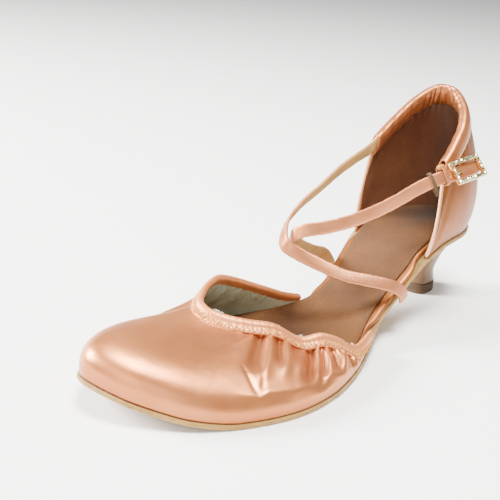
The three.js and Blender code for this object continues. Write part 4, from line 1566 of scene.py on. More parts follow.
OUTER_CREASES = (
    (0.374, 7, 0.441, 23, 1.6, 4.0, -0.35),
    (0.366, 7, 0.414, 24, 1.4, 3.2, 0.35),
    (0.349, 7, 0.380, 28, 2.2, 3.6, -1.7),
    (0.331, 7, 0.375, 36, 1.6, 2.4, 0.8),
    (0.311, 7, 0.330, 23, 1.6, 2.5, -1.45),
    (0.297, 6, 0.337, 30, 1.3, 2.3, 0.95),
    (0.283, 7, 0.299, 20, 1.4, 2.1, -0.8),
    (0.287, 12, 0.309, 28, 1.3, 2.0, 0.55),
    (0.250, 7, 0.298, 30, 1.7, 2.7, -1.75),
    (0.232, 6, 0.285, 26, 1.2, 1.8, 1.0),
    (0.220, 7, 0.280, 29, 1.3, 2.3, -1.15),
    (0.208, 6, 0.236, 20, 1.1, 1.8, 0.9),
    (0.186, 7, 0.206, 20, 1.4, 2.2, -1.15),
    (0.150, 6, 0.206, 20, 1.2, 1.8, 0.8),
    (0.136, 6, 0.146, 15, 1.2, 1.8, -0.75),
    (0.120, 6, 0.122, 12, 1.0, 1.6, 0.35),
    (0.385, 27, 0.371, 38.5, 0.9, 1.1, -0.45),
    (0.362, 24, 0.368, 38, 0.9, 1.1, -0.35),
)
INNER_CREASES = (
    (0.640, 7, 0.610, 26, 1.8, 3.4, -0.8),
    (0.665, 7, 0.640, 27, 1.5, 3.0, 0.6),
    (0.690, 7, 0.675, 24, 1.8, 2.8, -1.1),
    (0.712, 7, 0.700, 24, 1.3, 2.4, 0.6),
    (0.735, 7, 0.730, 20, 1.5, 2.4, -0.8),
    (0.757, 7, 0.757, 20, 1.2, 2.0, 0.5),
    (0.780, 7, 0.785, 17, 1.4, 2.0, -0.8),
    (0.803, 6, 0.810, 15, 1.1, 1.8, 0.45),
    (0.826, 6, 0.836, 13, 1.2, 1.8, -0.6),
    (0.850, 6, 0.858, 11, 1.0, 1.5, 0.4),
    (0.874, 6, 0.882, 9, 1.0, 1.4, -0.4),
)
# Where the gathers end: share along the toe part and millimetres below the rim

TAUT_LINE = (
    (0.16, 17.0), (0.211, 19.8), (0.236, 20.1), (0.264, 21.4), (0.292, 27.9), (0.319, 32.4),
    (0.344, 34.0), (0.361, 35.0), (0.371, 37.4), (0.40, 38.0),
)


@dataclass
class Vamp:
    """The gathered satin toe part, its lining and its rolled elastic edge."""

    form: VampForm
    finishes: Finishes
    steps: int = 440
    levels: int = 84
    wall: float = 1.3
    roll_steps: int = 620
    roll_sides: int = 26
    roll_section: Pairs = (
        (0.15, -0.75), (0.35, 0.05), (1.2, 0.62), (2.4, 0.72), (3.3, 0.45), (4.0, 0.5), (5.2, 0.52),
        (5.9, 0.28), (6.1, -0.2), (5.2, -0.9), (3.9, -1.5), (2.4, -2.0), (1.0, -1.85),
    )
    roll_middle: Pair = (3.2, -0.5)
    roll_room: float = 6.2
    roll_run: float = 190
    seam_run: float = 182
    seam_room: float = 6.4
    seam_levels: Pair = (3.5, 5.5)
    seam_spread: float = 0.15
    seam_radius: float = 0.2
    seam_seed: int = 3
    stitch_pitch: float = 0.95
    tufts: Pairs = ((0.455, 2.2), (0.430, 1.6), (0.262, 1.6), (0.105, 1.5))
    tuft_threads: int = 5
    thread_radius: float = 0.09
    thread_steps: int = 16
    thread_seed: int = 11

    def build(self) -> None:
        """Make and dress the toe part."""
        self.skin()
        self.binding()
        self.zigzag()
        self.loose_threads()

    def creases(self, t: Array, grid: Array) -> Array:
        """How far the satin stands out of its smooth form.

        Args:
            t: Shares along the wall.
            grid: Its points.

        Returns:
            Millimetres outwards, one for each point.
        """
        rise = np.linalg.norm(np.diff(grid, axis=1), axis=2)
        below = np.hstack([np.cumsum(rise[:, ::-1], axis=1)[:, ::-1], np.zeros((len(t), 1))])
        below = below + BINDING_HEIGHT * 0.5
        speed = np.linalg.norm(np.gradient(grid, t, axis=0), axis=2)
        depth = np.zeros(below.shape)
        for t0, below0, t1, below1, width0, width1, height in OUTER_CREASES + INNER_CREASES:
            share = (below - below0) / (below1 - below0)
            centre = t0 + (t1 - t0) * share
            width = width0 + (width1 - width0) * np.clip(share, 0, 1)
            away = (t[:, None] - centre) * speed / width
            length = smooth((share + 0.3) / 0.3) * (1 - smooth((share - 0.55) / 0.5))
            depth += height * np.exp(-away ** 2) * length
        depth += self.taut(t, below)
        depth += self.puckers(t, below)
        return depth * smooth((below - BINDING_HEIGHT * 0.4) / 4.0)

    def taut(self, t: Array, below: Array) -> Array:
        """The soft break between the gathers and the taut cloth under them.

        Args:
            t: Shares along the wall.
            below: Millimetres below the rim for each point.

        Returns:
            Millimetres outwards, one for each point.
        """
        line = np.array(TAUT_LINE)
        edge = np.interp(t, line[:, 0], line[:, 1])[:, None]
        near = (smooth((t - 0.15) / 0.06) * (1 - smooth((t - 0.37) / 0.04)))[:, None]
        ridge = 0.42 * np.exp(-((below - edge) / 1.8) ** 2)
        hollow = -0.45 * smooth((edge - below) / 6.0)
        return near * (ridge + hollow)

    def puckers(self, t: Array, below: Array) -> Array:
        """Fine gathers just under the elastic edge.

        Args:
            t: Shares along the wall.
            below: Millimetres below the rim for each point.

        Returns:
            Millimetres outwards, one for each point.
        """
        sides = smooth((t - 0.06) / 0.06) * (1 - smooth((t - 0.36) / 0.06))
        sides += smooth((t - 0.60) / 0.05) * (1 - smooth((t - 0.92) / 0.05))
        sides = 0.25 + 0.75 * np.clip(sides, 0, 1)
        wave = np.sin(t * 410 + 2.0 * np.sin(t * 57)) + 0.6 * np.sin(t * 263 + 1.3)
        return (0.16 * sides * wave)[:, None] * np.exp(-((below - 4.5) / 4.5) ** 2)

    def skin(self) -> None:
        """The satin wall with its gathers, lined inside."""
        t, share = shares(self.steps), shares(self.levels)
        top = self.form.level_below(t, BINDING_HEIGHT * 0.5)
        even = self.form.points(t, top[:, None] * share)
        depth = self.creases(t, even) * smooth(share / 0.12)
        grid = even + grid_normals(even) * depth[..., None]
        skin = from_grid("gathered_vamp", grid, spread(grid))
        # Darker towards the sole and low at the toe's front, with painted shade in the hollows of the
        # creases.
        low = 0.30 * (1 - smooth(share / 0.22))
        folds = np.clip(-depth, 0, 1.2) * 0.35
        low_toe = 0.25 * np.exp(-((t[:, None] - 0.45) / 0.2) ** 2) * (1 - smooth((share - 0.05) / 0.3))
        soil_and_shade(skin, np.clip(low + folds + low_toe, 0, 0.8))
        wall = [self.finishes.satin, self.finishes.canvas]
        line_wall(skin, wall, self.wall)
        settle(skin, wall, ("upper_vamp",))

    def on_edge(self, t: Array, below: Array, stand: Array) -> Array:
        """Points about the throat's edge.

        Args:
            t: Shares along the wall.
            below: Millimetres below the rim for each point.
            stand: Millimetres outwards for each point.

        Returns:
            The points.
        """
        grid = self.form.points(t, 1 - (1 - shares(240)) ** 2 * 0.6)
        normals = grid_normals(grid)
        depth = np.linalg.norm(grid - grid[:, -1:], axis=2)
        depth = np.maximum.accumulate(depth[:, ::-1], axis=1)[:, ::-1]
        result = np.zeros((len(t), below.shape[1], 3))
        for i in range(len(t)):
            for axis in range(3):
                place = np.interp(below[i], depth[i, ::-1], grid[i, ::-1, axis])
                face = np.interp(below[i], depth[i, ::-1], normals[i, ::-1, axis])
                result[i, :, axis] = place + face * stand[i]
        return result

    def binding(self) -> None:
        """The rolled edge: satin drawn over elastic."""
        t = shares(self.roll_steps)
        below, stand = Spline(np.array(self.roll_section), closed=True)(shares(self.roll_sides)).T
        pucker = 0.5 + 0.5 * np.sin(t * 620 + 2.4 * np.sin(t * 71))
        pucker += 0.4 * np.sin(t * 395 + 1.1)
        outer = smooth((stand + 0.2) / 0.6)
        stand = stand + (pucker[:, None] - 0.5) * 0.12 * outer * (0.4 + smooth((below - 2.6) / 1.2))
        close = rounded(np.minimum(t, 1 - t) * self.roll_run, 2.0)[:, None]
        low, out = self.roll_middle
        below = low + (below - low) * close
        stand = out + (stand - out) * close
        reach = np.minimum(1, self.depth_room(t) / self.roll_room)[:, None]
        grid = self.on_edge(t, below * reach, stand)
        roll = from_grid("throat_roll", grid, spread(grid), wrap=True)
        settle(roll, [self.finishes.binding], ("throat_binding",))

    def depth_room(self, t: Array) -> Array:
        """How much wall there is under the rim at each section, in millimetres."""
        ends = self.form.points(t, np.array([0.0, 1.0]))
        return np.linalg.norm(ends[:, 1] - ends[:, 0], axis=1)

    def zigzag(self) -> None:
        """The gold zigzag seam on the rolled edge's foot."""
        rng = np.random.default_rng(self.seam_seed)
        count = int(self.seam_run / self.stitch_pitch)
        t = np.linspace(0.03, 0.965, count)
        high, low = (level + rng.normal(0, self.seam_spread, count) for level in self.seam_levels)
        below = np.where(np.arange(count) % 2 == 0, high, low)
        below = below * np.minimum(1, self.depth_room(t) / self.seam_room)
        turns = np.arange(count)
        fine = np.linspace(0, count - 1, count * 4 - 3)
        hump = 0.62 + 0.16 * np.sin(math.pi * (fine % 1.0))
        path = self.on_edge(np.interp(fine, turns, t), np.interp(fine, turns, below)[:, None],
                            hump[:, None])[:, 0]
        settle(tube("zigzag_seam", path, self.seam_radius, sides=6), [self.finishes.gilt])

    def loose_threads(self) -> None:
        """Curled ends of thread on the throat's inner edge."""
        rng = np.random.default_rng(self.thread_seed)
        tufts = []
        for place, size in self.tufts:
            around = place + np.array([-0.002, 0.0, 0.002])
            base = self.on_edge(around, np.full((3, 1), 0.6), np.full((3, 1), -1.6))[1, 0]
            for _ in range(self.tuft_threads):
                angle = np.linspace(0, rng.uniform(4, 8), self.thread_steps)
                radius = size * rng.uniform(0.18, 0.35)
                turn = rng.uniform(0, 6.28)
                curl = np.stack([np.cos(angle + turn) * radius, np.sin(angle + turn) * radius,
                                 0.4 + angle * size * 0.05], 1)
                curl += base + rng.normal(0, size * 0.2, 3)
                tufts.append(tube("loose_threads", curl, self.thread_radius, sides=5))
        settle(join("loose_threads", tufts), [self.finishes.fluff])


# The heel part

@dataclass
class Counter:
    """The satin heel part with its lining, its corded front edges and the collar's tunnel."""

    form: CounterForm
    finishes: Finishes
    steps: int = 260
    levels: int = 70
    wall: float = 1.9
    cord_radius: float = 0.75
    tunnel_steps: int = 420
    tunnel_sides: int = 48
    tunnel_wall: float = 0.8
    gather_pitch: float = 3.6
    mouth: float = 2.5
    seam_depth: float = 3.7
    seam_stand: float = 2.12
    stitch_pitch: float = 1.3
    stitch_length: float = 0.8
    stitch_radius: float = 0.2
    section: Pairs = (
        (1.45, -5.3), (1.75, -4.2), (2.15, -2.4), (2.4, -0.2), (2.3, 2.2), (1.6, 4.0), (0.1, 4.85),
        (-1.5, 4.2), (-2.25, 2.4), (-2.4, 0.0), (-2.3, -2.6), (-1.7, -4.6), (-0.3, -5.2),
    )

    def build(self) -> None:
        """Make and dress the heel part."""
        self.skin()
        self.cords()
        self.tunnel()
        self.seam()

    def skin(self) -> None:
        """The satin wall, lined with brown cloth inside."""
        t, share = shares(self.steps), shares(self.levels)
        top = self.form.level_below(t, SLEEVE_HEIGHT - 0.2)
        grid = self.form.points(t, top[:, None] * share)
        edge = smooth(np.minimum(t, 1 - t)[:, None] / 0.12)
        wave = np.sin(t * 47 + 1.0)[:, None] * np.sin(share * 9 + 2.0 + t[:, None] * 11)
        ripple = (1 - edge) * 0.35 * wave * smooth(share / 0.15)
        pull = 0.12 * np.sin(t * 160)[:, None] * smooth((share - 0.86) / 0.14)
        grid = grid + grid_normals(grid) * (ripple + pull)[..., None]
        skin = from_grid("heel_part", grid, spread(grid))
        # Painted shade under the collar's tunnel and round the back of the heel; darker too by the sole.
        low = 0.35 * (1 - smooth(share / 0.1)) + 0.18 * smooth((share - 0.75) / 0.25)
        back = 0.42 * np.exp(-((t[:, None] - 0.5) / 0.22) ** 2)
        soil_and_shade(skin, np.clip(low + back, 0, 0.75))
        wall = [self.finishes.counter, self.finishes.lining]
        line_wall(skin, wall, self.wall)
        settle(skin, wall, ("upper_counter",))

    def cords(self) -> None:
        """The rolled cord along each front edge."""
        rows = []
        for t in (0.0, 1.0):
            here = np.array([t])
            top = float(self.form.level_below(here, SLEEVE_HEIGHT - 2.0)[0])
            s = np.linspace(0.012, top, 90)
            face = self.form.points(here, s)[0]
            along = self.form.points(np.array([abs(t - 0.01)]), s)[0] - face
            outward = np.stack([self.form.normals(here, np.array([level]))[0] for level in s])
            path = face - outward * self.cord_radius - unit(along) * 0.35
            rows.append(tube("edge_cords", path, self.cord_radius, sides=18))
        settle(join("edge_cords", rows), [self.finishes.piping])

    def tunnel_grid(self, t: Array) -> Array:
        """Points of the collar's tunnel.

        Args:
            t: Shares along the wall.

        Returns:
            A closed section for each t.
        """
        middle, up, outward = self.form.sleeve(t)
        out, rise = Spline(np.array(self.section), closed=True)(shares(self.tunnel_sides)).T
        along = travelled(middle)[:, None]
        heel = np.exp(-((t - 0.5) / 0.2) ** 2)[:, None]
        inside = smooth((0.9 - out) / 1.6)
        phase = along * 2 * math.pi / self.gather_pitch + 1.4 * np.sin(along * 0.33)
        gather = (np.abs(np.sin(phase / 2)) - 0.6) * (0.10 + 0.42 * heel) * inside
        crush = 0.16 * np.sin(along * 0.9 + rise * 0.5)
        scale = 1 + (gather + crush * (0.4 + 0.6 * inside)) / 2.6
        mouth = smooth(np.minimum(along, along[-1] - along) / self.mouth)
        out = out * np.where(out < 0, scale, 1 + (scale - 1) * 0.3) * (0.92 + 0.08 * mouth)
        rise = rise * (1 + (scale - 1) * 0.25)
        return middle[:, None] + outward[:, None] * out[..., None] + up[:, None] * rise[..., None]

    def tunnel(self) -> None:
        """The collar folded over into a tunnel, open at both ends."""
        t = shares(self.tunnel_steps)
        grid = self.tunnel_grid(t)
        tunnel = from_grid("collar_tunnel", grid, spread(grid), wrap=True)
        # Painted shade on the tunnel's inner side, which faces into the shoe.
        place = places_of(tunnel).T
        middle, _, outward = (line[::6] for line in self.form.sleeve(t))
        near = np.argmin(((place[:, None, :] - middle[None]) ** 2).sum(2), axis=1)
        side = np.sum((place - middle[near]) * outward[near], axis=1)
        soil_and_shade(tunnel, np.clip(0.12 - side * 0.11, 0, 0.42))
        modify(tunnel, "SOLIDIFY", thickness=self.tunnel_wall * MM, offset=-1.0, use_rim=True,
               material_offset=0)
        settle(tunnel, [self.finishes.collar], ("collar_sleeve",))

    def seam(self) -> None:
        """The row of small white stitches that closes the tunnel on the outer face."""
        rows = []
        for start, end in ((0.02, 0.40), (0.60, 0.975)):
            t = np.linspace(start, end, 160)
            middle, up, outward = self.form.sleeve(t)
            path = middle + outward * self.seam_stand - up * self.seam_depth
            rows.append(stitches("collar_stitches", path, outward, self.stitch_pitch,
                                 self.stitch_length, self.stitch_radius))
        settle(join("collar_stitches", rows), [self.finishes.thread])


# The straps and their loops

@dataclass
class Straps:
    """The two crossed straps of satin on tape, and the elastic loops on them."""

    counter: CounterForm
    buckle: Buckle
    finishes: Finishes
    hidden_from: float = 0.015
    hidden_to: float = 0.96
    hidden_width: float = 5.2
    mouth_run: float = 2.5
    band_sides: int = 32
    dome: float = 0.12
    end_round: float = 0.7
    tip_round: float = 3.0
    tip_least: float = 0.12
    tape_face: float = -0.35
    path_steps: int = 360
    hole_radius: float = 0.75
    spare_hole: float = -13.2
    loop_steps: int = 96
    keeper_path: Pairs = (
        (1.5, 3.1), (1.75, 1.4), (1.7, -1.4), (1.55, -3.0), (1.0, -4.8), (0.1, -6.5), (-0.5, -5.4),
        (-1.3, -3.2), (-1.6, -1.2), (-1.6, 1.6), (-1.3, 3.2), (0.2, 3.9),
    )
    loop_path: Pairs = (
        (1.3, 3.5), (1.15, 1.6), (1.15, -1.6), (0.9, -3.3), (-0.3, -3.7), (-1.5, -2.9), (-1.9, -0.6),
        (-2.1, 2.2), (-1.7, 4.6), (-0.2, 5.6),
    )
    keeper_place: float = 38.6
    keeper_size: Pair = (1.6, 0.5)
    loop_place: float = 32.2
    loop_size: Pair = (2.6, 0.35)
    roll_place: float = 31.4
    roll_radius: float = 1.25
    roll_steps: int = 39

    def build(self) -> None:
        """Make and dress both straps and both loops."""
        self.long_strap()
        self.buckle_strap()
        self.keeper()
        self.mouth_roll()

    def band(self, name: str, path: Ribbon) -> Piece:
        """A strap with rounded edges and closed ends.

        Args:
            name: The piece's name.
            path: Where it runs.

        Returns:
            The strap, with its inner face in the second material.
        """
        angle = full_turn(self.band_sides) - math.pi / 2
        across = squarish(np.sin(angle), 0.42)
        stand = squarish(np.cos(angle), 0.6)
        dome = self.dome * (1 - across ** 2) * (stand > 0)
        far = path.length
        close = rounded(np.minimum(far, far[-1] - far), self.end_round)
        wave = 0.05 * np.sin(far * 0.8) + 0.04 * np.sin(far * 1.9 + 1)
        half = (path.width / 2 * (0.2 + 0.8 * close))[:, None] + wave[:, None]
        thick = (STRAP_THICKNESS / 2 * close)[:, None]
        out = stand[None] * thick * 0.95 + dome[None] * close[:, None]
        grid = path.middle[:, None] + path.up[:, None] * (across[None] * half)[..., None]
        grid = grid + path.outward[:, None] * out[..., None]
        uv = np.stack(np.broadcast_arrays(far[:, None], across[None] * STRAP_WIDTH / 2), 2)
        strap = from_grid(name, grid, uv, wrap=True)
        cell = np.arange(len(strap.data.polygons)) % self.band_sides
        middle_angle = (angle[:-1] + angle[1:]) / 2
        tape = np.cos(middle_angle[cell]) < self.tape_face
        clothe(strap, [self.finishes.strap, self.finishes.tape])
        strap.data.polygons.foreach_set("material_index", tape.astype(np.int32))
        return strap

    def long_strap(self) -> None:
        """From the outer waist over the instep and through the collar's tunnel."""
        free = ribbon(np.array(LONG_STRAP_ROUTE), 330)
        middle, _, outward = self.counter.sleeve(np.linspace(self.hidden_from, self.hidden_to, 150))
        mouth, _, face = self.counter.sleeve(np.array([0.0]))
        mouth = mouth + unit(mouth - middle[:1]) * self.mouth_run
        knots = np.hstack([np.vstack([free.middle[-12:-6:3], mouth, middle[:6:3]]),
                           np.vstack([free.outward[-12:-6:3], face, outward[:6:3]])])
        bridge = Spline(knots)(shares(29))
        middle = np.vstack([free.middle[:-12], bridge[:, :3], middle[4:]])
        outward = np.vstack([free.outward[:-12], unit(bridge[:, 3:]), outward[4:]])
        along = unit(np.gradient(middle, axis=0))
        outward = squared(outward, along)
        last = len(free.middle)
        width = np.interp(np.arange(len(middle)), [0, last - 20, last + 10],
                          [STRAP_WIDTH, STRAP_WIDTH, self.hidden_width])
        strap = self.band("long_strap_satin", Ribbon(middle, unit(np.cross(along, outward)), outward, width))
        # Painted shadow at the front of the instep where the straps cross, and painted shade low by the
        # sole.
        x, _, z = places_of(strap)
        soil_and_shade(strap, 0.2 * smooth((x - 88) / 8) + 0.12 * smooth((22 - z) / 4))
        self.dress(strap, "long_strap")

    def dress(self, strap: Piece, node: str) -> None:
        """Settle a strap with its satin and its tape in place of its solid."""
        settle(strap, [self.finishes.strap, self.finishes.tape], (node,))

    def buckle_strap(self) -> None:
        """From the inner waist over the instep to its rounded end behind the buckle, with holes."""
        path = self.buckle.strap(self.path_steps)
        left = path.length[-1] - path.length
        path.width = path.width * rounded(left, self.tip_round, self.tip_least)
        strap = self.band("buckle_strap_satin", path)
        # Darker towards the heel, and painted shade low by the sole.
        x, _, z = places_of(strap)
        soil_and_shade(strap, 0.15 * smooth((60 - x) / 30) + 0.12 * smooth((22 - z) / 4))
        for hole in (PRONG_HOLE, self.spare_hole):
            self.punch(strap, hole)
        self.dress(strap, "buckle_strap")

    def punch(self, strap: Piece, x: float) -> None:
        """Punch a round hole through the strap.

        Args:
            strap: The strap.
            x: Its place along the buckle from the buckle's middle.
        """
        here = self.buckle.at(x, 0.0, -STRAP_UNDER_BUCKLE)
        path = self.buckle.strap(self.path_steps)
        near = int(np.argmin(np.linalg.norm(path.middle - here, axis=1)))
        line = path.middle[near] + path.outward[near] * np.linspace(-3, 3, 7)[:, None]
        drill = tube("drill", line, self.hole_radius, sides=16)
        modify(strap, "BOOLEAN", object=drill, operation="DIFFERENCE", solver="EXACT")
        bpy.data.objects.remove(drill, do_unlink=True)

    def frame_at(self, x: float) -> tuple[Array, Array, Array, Array]:
        """The buckle strap's frame where it passes x on its way to the buckle.

        Args:
            x: Distance along the shoe.

        Returns:
            The middle, and the directions along, up and outwards.
        """
        path = self.buckle.strap(2 * self.path_steps)
        half = len(path.middle) // 2
        near = half + int(np.argmin(np.abs(path.middle[half:, 0] - x)))
        along = unit(path.middle[near + 1] - path.middle[near - 1])
        return path.middle[near], along, path.up[near], path.outward[near]

    def loop(self, name: str, x: float, knots: Pairs,
             size: Pair) -> Piece:
        """An elastic band carried round the buckle strap.

        Args:
            name: The piece's name.
            x: Where it sits.
            knots: Outward and upward places of its closed path.
            size: Its width along the strap and its thickness.

        Returns:
            The loop.
        """
        middle, along, up, outward = self.frame_at(x)
        ring = Spline(np.array(knots), closed=True)(shares(self.loop_steps))
        path = middle + ring[:, :1] * outward + ring[:, 1:] * up * np.sign(up[2])
        ahead = unit(np.roll(path[:-1], -1, axis=0) - np.roll(path[:-1], 1, axis=0))
        ahead = np.vstack([ahead, ahead[:1]])
        face = unit(np.cross(ahead, along))
        angle = full_turn(20)
        across = squarish(np.cos(angle), 0.4) * size[0] / 2
        stand = squarish(np.sin(angle), 0.7) * size[1] / 2
        grid = path[:, None] + along * across[None, :, None] + face[:, None] * stand[None, :, None]
        far = np.linspace(0, 30, len(path))
        uv = np.stack(np.broadcast_arrays(far[:, None], across[None]), 2)
        piece = from_grid(name, grid, uv, wrap=True)
        edit_all(face_outwards)
        return piece

    def keeper(self) -> None:
        """The thin keeper, sagging below the strap."""
        keeper = self.loop("keeper_elastic", self.keeper_place, self.keeper_path, self.keeper_size)
        soil_and_shade(keeper, 0.25)
        settle(keeper, [self.finishes.olive], ("keeper_loop",))

    def mouth_roll(self) -> None:
        """The rolled elastic that holds the strap at the tunnel's mouth."""
        thin = self.loop("loop_elastic", self.loop_place, self.loop_path, self.loop_size)
        soil_and_shade(thin, 0.0)
        settle(thin, [self.finishes.strap], ("sleeve_loop",))
        middle, along, up, outward = self.frame_at(self.roll_place)
        up = up * np.sign(up[2])
        start, end = middle - along * 2.8 + up * 4.6, middle + along * 2.4 + up * 4.3
        share = shares(self.roll_steps)[:, None]
        path = start * (1 - share) + end * share + outward * 0.6 * np.sin(math.pi * share) - outward * 0.4
        ridge = self.roll_radius + 0.12 * np.sin(40 * share[:, 0])
        roll = tube("mouth_roll", path, ridge, sides=22)
        soil_and_shade(roll, 0.1)
        settle(roll, [self.finishes.elastic])


# The buckle

@dataclass
class StoneBuckle:
    """The gold frame set with cut stones, its bar and its prong."""

    place: Buckle
    finishes: Finishes
    long_stones: int = 11
    short_stones: int = 6
    stone_radius: float = 0.98
    bead_radius: float = 0.24
    bead_offset: float = 0.72
    bead_height: float = 0.72
    wire_radius: float = 0.55
    wire_bend: float = 0.55
    bar_place: float = 0.6
    seed: int = 5
    facets: int = 8
    facet_light: tuple[float, ...] = (0.0, 0.15, 0.5, 0.95)
    section: Pairs = (
        (2.0, 0.3), (1.88, 0.72), (1.7, 0.8), (1.6, 0.5), (0.4, 0.5), (0.3, 0.8), (0.12, 0.72),
        (0.0, 0.3), (0.0, -0.9), (0.12, -1.0), (1.88, -1.0), (2.0, -0.9), (2.0, 0.3),
    )
    stone_section: Pairs = (
        (0.0, 0.45), (0.84, 0.45), (0.88, 0.62), (0.5, 1.02), (0.0, 1.02),
    )

    def build(self) -> None:
        """Make and dress the buckle."""
        self.frame()
        self.stones()
        self.wires()

    def at_all(self, points: Array) -> Array:
        """Places on the shoe of points given in the buckle's axes."""
        axes = np.stack([self.place.x, self.place.y, self.place.z])
        return BUCKLE_MIDDLE + points @ axes

    def frame(self) -> None:
        """The bevelled rectangular frame with a channel for the stones."""
        section = np.array(self.section)
        half = np.array([BUCKLE_LENGTH / 2, BUCKLE_HEIGHT / 2])
        chamfer = 0.4 * (1 - section[:, 0] / BUCKLE_RAIL)[:, None]
        corners = ((-1, -1), (1, -1), (1, 1), (-1, 1))
        rows = []
        for n, corner in enumerate(corners):
            for other in (corners[n - 1], corners[(n + 1) % 4]):
                side = np.subtract(other, corner) / 2
                flat = np.array(corner) * (half - section[:, :1]) + side * chamfer
                rows.append(np.hstack([flat, section[:, 1:]]))
        rows.append(rows[0])
        grid = self.at_all(np.stack(rows))
        rails = from_grid("buckle_gold", grid, spread(grid), wrap=True)
        edit_all(weld, face_outwards)
        modify(rails, "BEVEL", width=0.06 * MM, segments=2, limit_method="ANGLE")
        bpy.ops.object.shade_smooth_by_angle(angle=math.radians(35))
        settle(rails, [self.finishes.gold], ("buckle_frame",))

    def seats(self) -> list[Array]:
        """Where the stones sit in the frame's plane.

        Returns:
            One place for each stone.
        """
        reach = np.array([BUCKLE_LENGTH, BUCKLE_HEIGHT]) / 2 - BUCKLE_RAIL / 2
        places = []
        for x in np.linspace(-reach[0], reach[0], self.long_stones):
            places += [np.array([x, -reach[1]]), np.array([x, reach[1]])]
        for y in np.linspace(-reach[1], reach[1], self.short_stones)[1:-1]:
            places += [np.array([-reach[0], y]), np.array([reach[0], y])]
        return places

    def stones(self) -> None:
        """Faceted stones with small gold beads between them."""
        rng = np.random.default_rng(self.seed)
        section = np.array(self.stone_section)
        reach = section[:, :1] * self.stone_radius / section[:, 0].max()
        stones, beads = [], []
        places = self.seats()
        for seat in places:
            angle = full_turn(self.facets) + rng.uniform(0, 0.8)
            ring = np.stack([np.cos(angle) * reach, np.sin(angle) * reach,
                             np.broadcast_to(section[:, 1:], (len(section), len(angle)))], 2)
            tilt = rng.normal(0, 0.07, 2)
            ring[..., 2] += ring[..., 0] * tilt[0] + ring[..., 1] * tilt[1]
            ring[..., :2] += seat
            stones.append(from_grid("cut_stones", self.at_all(ring), ring[..., :2], wrap=True))
            bpy.ops.object.shade_flat()
            for other in sorted(places, key=lambda place: np.linalg.norm(place - seat))[1:3]:
                middle, gap = (seat + other) / 2, other - seat
                side = unit(np.array([-gap[1], gap[0]])) * self.bead_offset
                beads += [middle + side, middle - side]
        gems = join("cut_stones", stones)
        # Painted glints: each facet of the stones gets a tone from light to dark.
        painted_glint = gems.data.attributes.new("painted_glint", "FLOAT", "FACE")
        painted_glint.data.foreach_set("value", rng.choice(self.facet_light, len(gems.data.polygons)))
        settle(gems, [self.finishes.stone])
        settle(self.beads(beads), [self.finishes.gold])

    def beads(self, places: list[Array]) -> Piece:
        """Small gold beads that hold the stones.

        Args:
            places: Where they sit in the frame's plane.

        Returns:
            The beads as one piece.
        """
        turn = full_turn(8)
        rise = np.linspace(-math.pi / 2, math.pi / 2, 6)[:, None]
        flat, high = np.cos(rise) * self.bead_radius, np.sin(rise) * self.bead_radius
        made = []
        for x, y in sorted({(round(x, 2), round(y, 2)) for x, y in places}):
            ring = np.stack(np.broadcast_arrays(x + np.cos(turn) * flat, y + np.sin(turn) * flat,
                                                self.bead_height + high), 2)
            made.append(from_grid("gold_beads", self.at_all(ring), ring[..., :2], wrap=True))
        return join("gold_beads", made)

    def wires(self) -> None:
        """The bar behind the strap and the prong through its hole."""
        bend, place, rail_foot = self.wire_bend, self.bar_place, -0.9
        clear = STRAP_THICKNESS / 2 + GAP + self.wire_radius
        back, front = -STRAP_UNDER_BUCKLE - clear, -STRAP_UNDER_BUCKLE + clear
        rail = BUCKLE_HEIGHT / 2 - BUCKLE_RAIL / 2 - GAP
        bar = [(place, y, z) for y, z in (
            (rail, rail_foot), (rail, back + bend), (rail - bend, back), (-rail + bend, back),
            (-rail, back + bend), (-rail, rail_foot))]
        prong = [(x, 0.0, z) for x, z in (
            (place - 0.6, back), (PRONG_HOLE + bend, back), (PRONG_HOLE, back + bend),
            (PRONG_HOLE, front - bend), (PRONG_HOLE - bend, front),
            (-BUCKLE_LENGTH / 2 + BUCKLE_RAIL - GAP, front + 0.25))]
        for name, flat, node in (("buckle_bar_wire", bar, "buckle_bar"),
                                 ("buckle_prong_wire", prong, "buckle_prong")):
            path = self.at_all(Spline(np.array(flat))(shares(59)))
            wire = tube(name, path, self.wire_radius, sides=14)
            settle(wire, [self.finishes.gold], (node,))


# Camera, lights and floor

@dataclass(frozen=True)
class SoftBox:
    """A square light: where it hangs and its side in metres, its power in watts and its colour."""

    name: str
    place: Triple
    size: float
    power: float
    colour: Triple

    def hang(self, target: Triple) -> None:
        """Hang the light so that it looks at a place.

        Args:
            target: The place, in metres.
        """
        bpy.ops.object.light_add(type="AREA", location=self.place)
        lamp = bpy.context.object
        lamp.name = self.name
        lamp.data.size = self.size
        lamp.data.energy = self.power
        lamp.data.color = self.colour
        aim = Vector(target) - Vector(self.place)
        lamp.rotation_euler = aim.to_track_quat("-Z", "Y").to_euler()


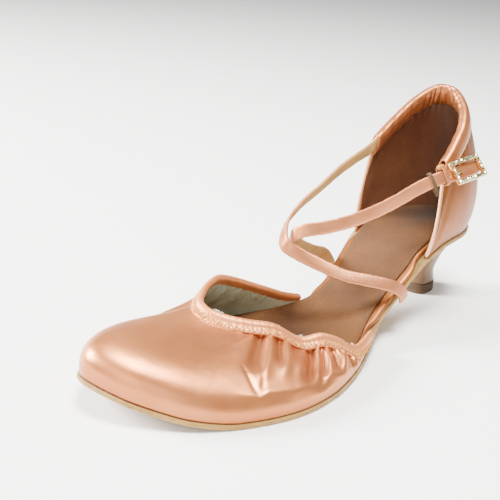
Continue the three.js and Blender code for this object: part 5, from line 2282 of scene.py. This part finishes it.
@dataclass(frozen=True)
class Studio:
    """The photographed view, soft light and a pale floor."""

    eye: Triple = (347.5, 225.5, 165.2)
    azimuth: float = 134.9
    elevation: float = 20.6
    roll: float = 4.4
    lens: float = 62.14
    sensor: float = 36.0
    target: Triple = (0.09, 0.0, 0.03)
    boxes: tuple[SoftBox, ...] = (
        SoftBox("key", (0.18, 0.16, 1.25), 0.46, 54.0, (1.0, 0.98, 0.95)),
        SoftBox("side", (0.85, -0.85, 0.62), 0.5, 92.0, (1.0, 0.98, 0.94)),
        SoftBox("fill", (1.1, 0.6, 0.5), 0.8, 10.0, (1.0, 0.99, 0.97)),
    )
    world_light: float = 0.45
    floor_side: float = 12.0

    def camera(self) -> None:
        """Place the camera."""
        turn, rise, roll = (math.radians(angle) for angle in (self.azimuth, self.elevation, self.roll))
        back = np.array([math.sin(turn) * math.cos(rise), -math.cos(turn) * math.cos(rise), math.sin(rise)])
        level = unit(np.cross(UP, back))
        top = np.cross(back, level)
        right = level * math.cos(roll) + top * math.sin(roll)
        top = top * math.cos(roll) - level * math.sin(roll)
        bpy.ops.object.camera_add()
        camera = bpy.context.object
        camera.name = "photo_camera"
        camera.data.lens = self.lens
        camera.data.sensor_width = self.sensor
        camera.data.clip_start = 0.01
        camera.data.dof.use_dof = False
        axes = Matrix((Vector(right), Vector(top), Vector(back))).transposed().to_4x4()
        axes.translation = Vector(self.eye) * MM
        camera.matrix_world = axes
        bpy.context.scene.camera = camera

    def build(self) -> None:
        """Set up lights, world and floor."""
        for box in self.boxes:
            box.hang(self.target)
        world = bpy.data.worlds.new("pale")
        world.use_nodes = True
        background = world.node_tree.nodes["Background"].inputs
        background["Color"].default_value = (1.0, 1.0, 1.0, 1.0)
        background["Strength"].default_value = self.world_light
        bpy.context.scene.world = world
        bpy.ops.mesh.primitive_plane_add(size=self.floor_side)
        floor = bpy.context.object
        floor.name = "floor"
        shader = Shader("floor_paper")
        tint = shader.mix(shader.noise(120.0, 2.0), tone((252, 252, 252)), tone((249, 249, 249)))
        shader.shade(Base_Color=tint, Roughness=0.9)
        floor.data.materials.append(shader.material)


def main() -> None:
    """Build the shoe and the studio."""
    logging.basicConfig(level=logging.INFO, format="%(name)s %(message)s")
    studio = Studio()
    studio.camera()
    studio.build()
    finishes = Finishes()
    last = Last()
    buckle = Buckle()
    counter = CounterForm(last)
    for part in (
        Bottom(last, finishes),
        Vamp(VampForm(last), finishes),
        Counter(counter, finishes),
        Straps(counter, buckle, finishes),
        StoneBuckle(buckle, finishes),
    ):
        part.build()
        LOG.info("%s finished", type(part).__name__)


if __name__ == "__main__":
    main()
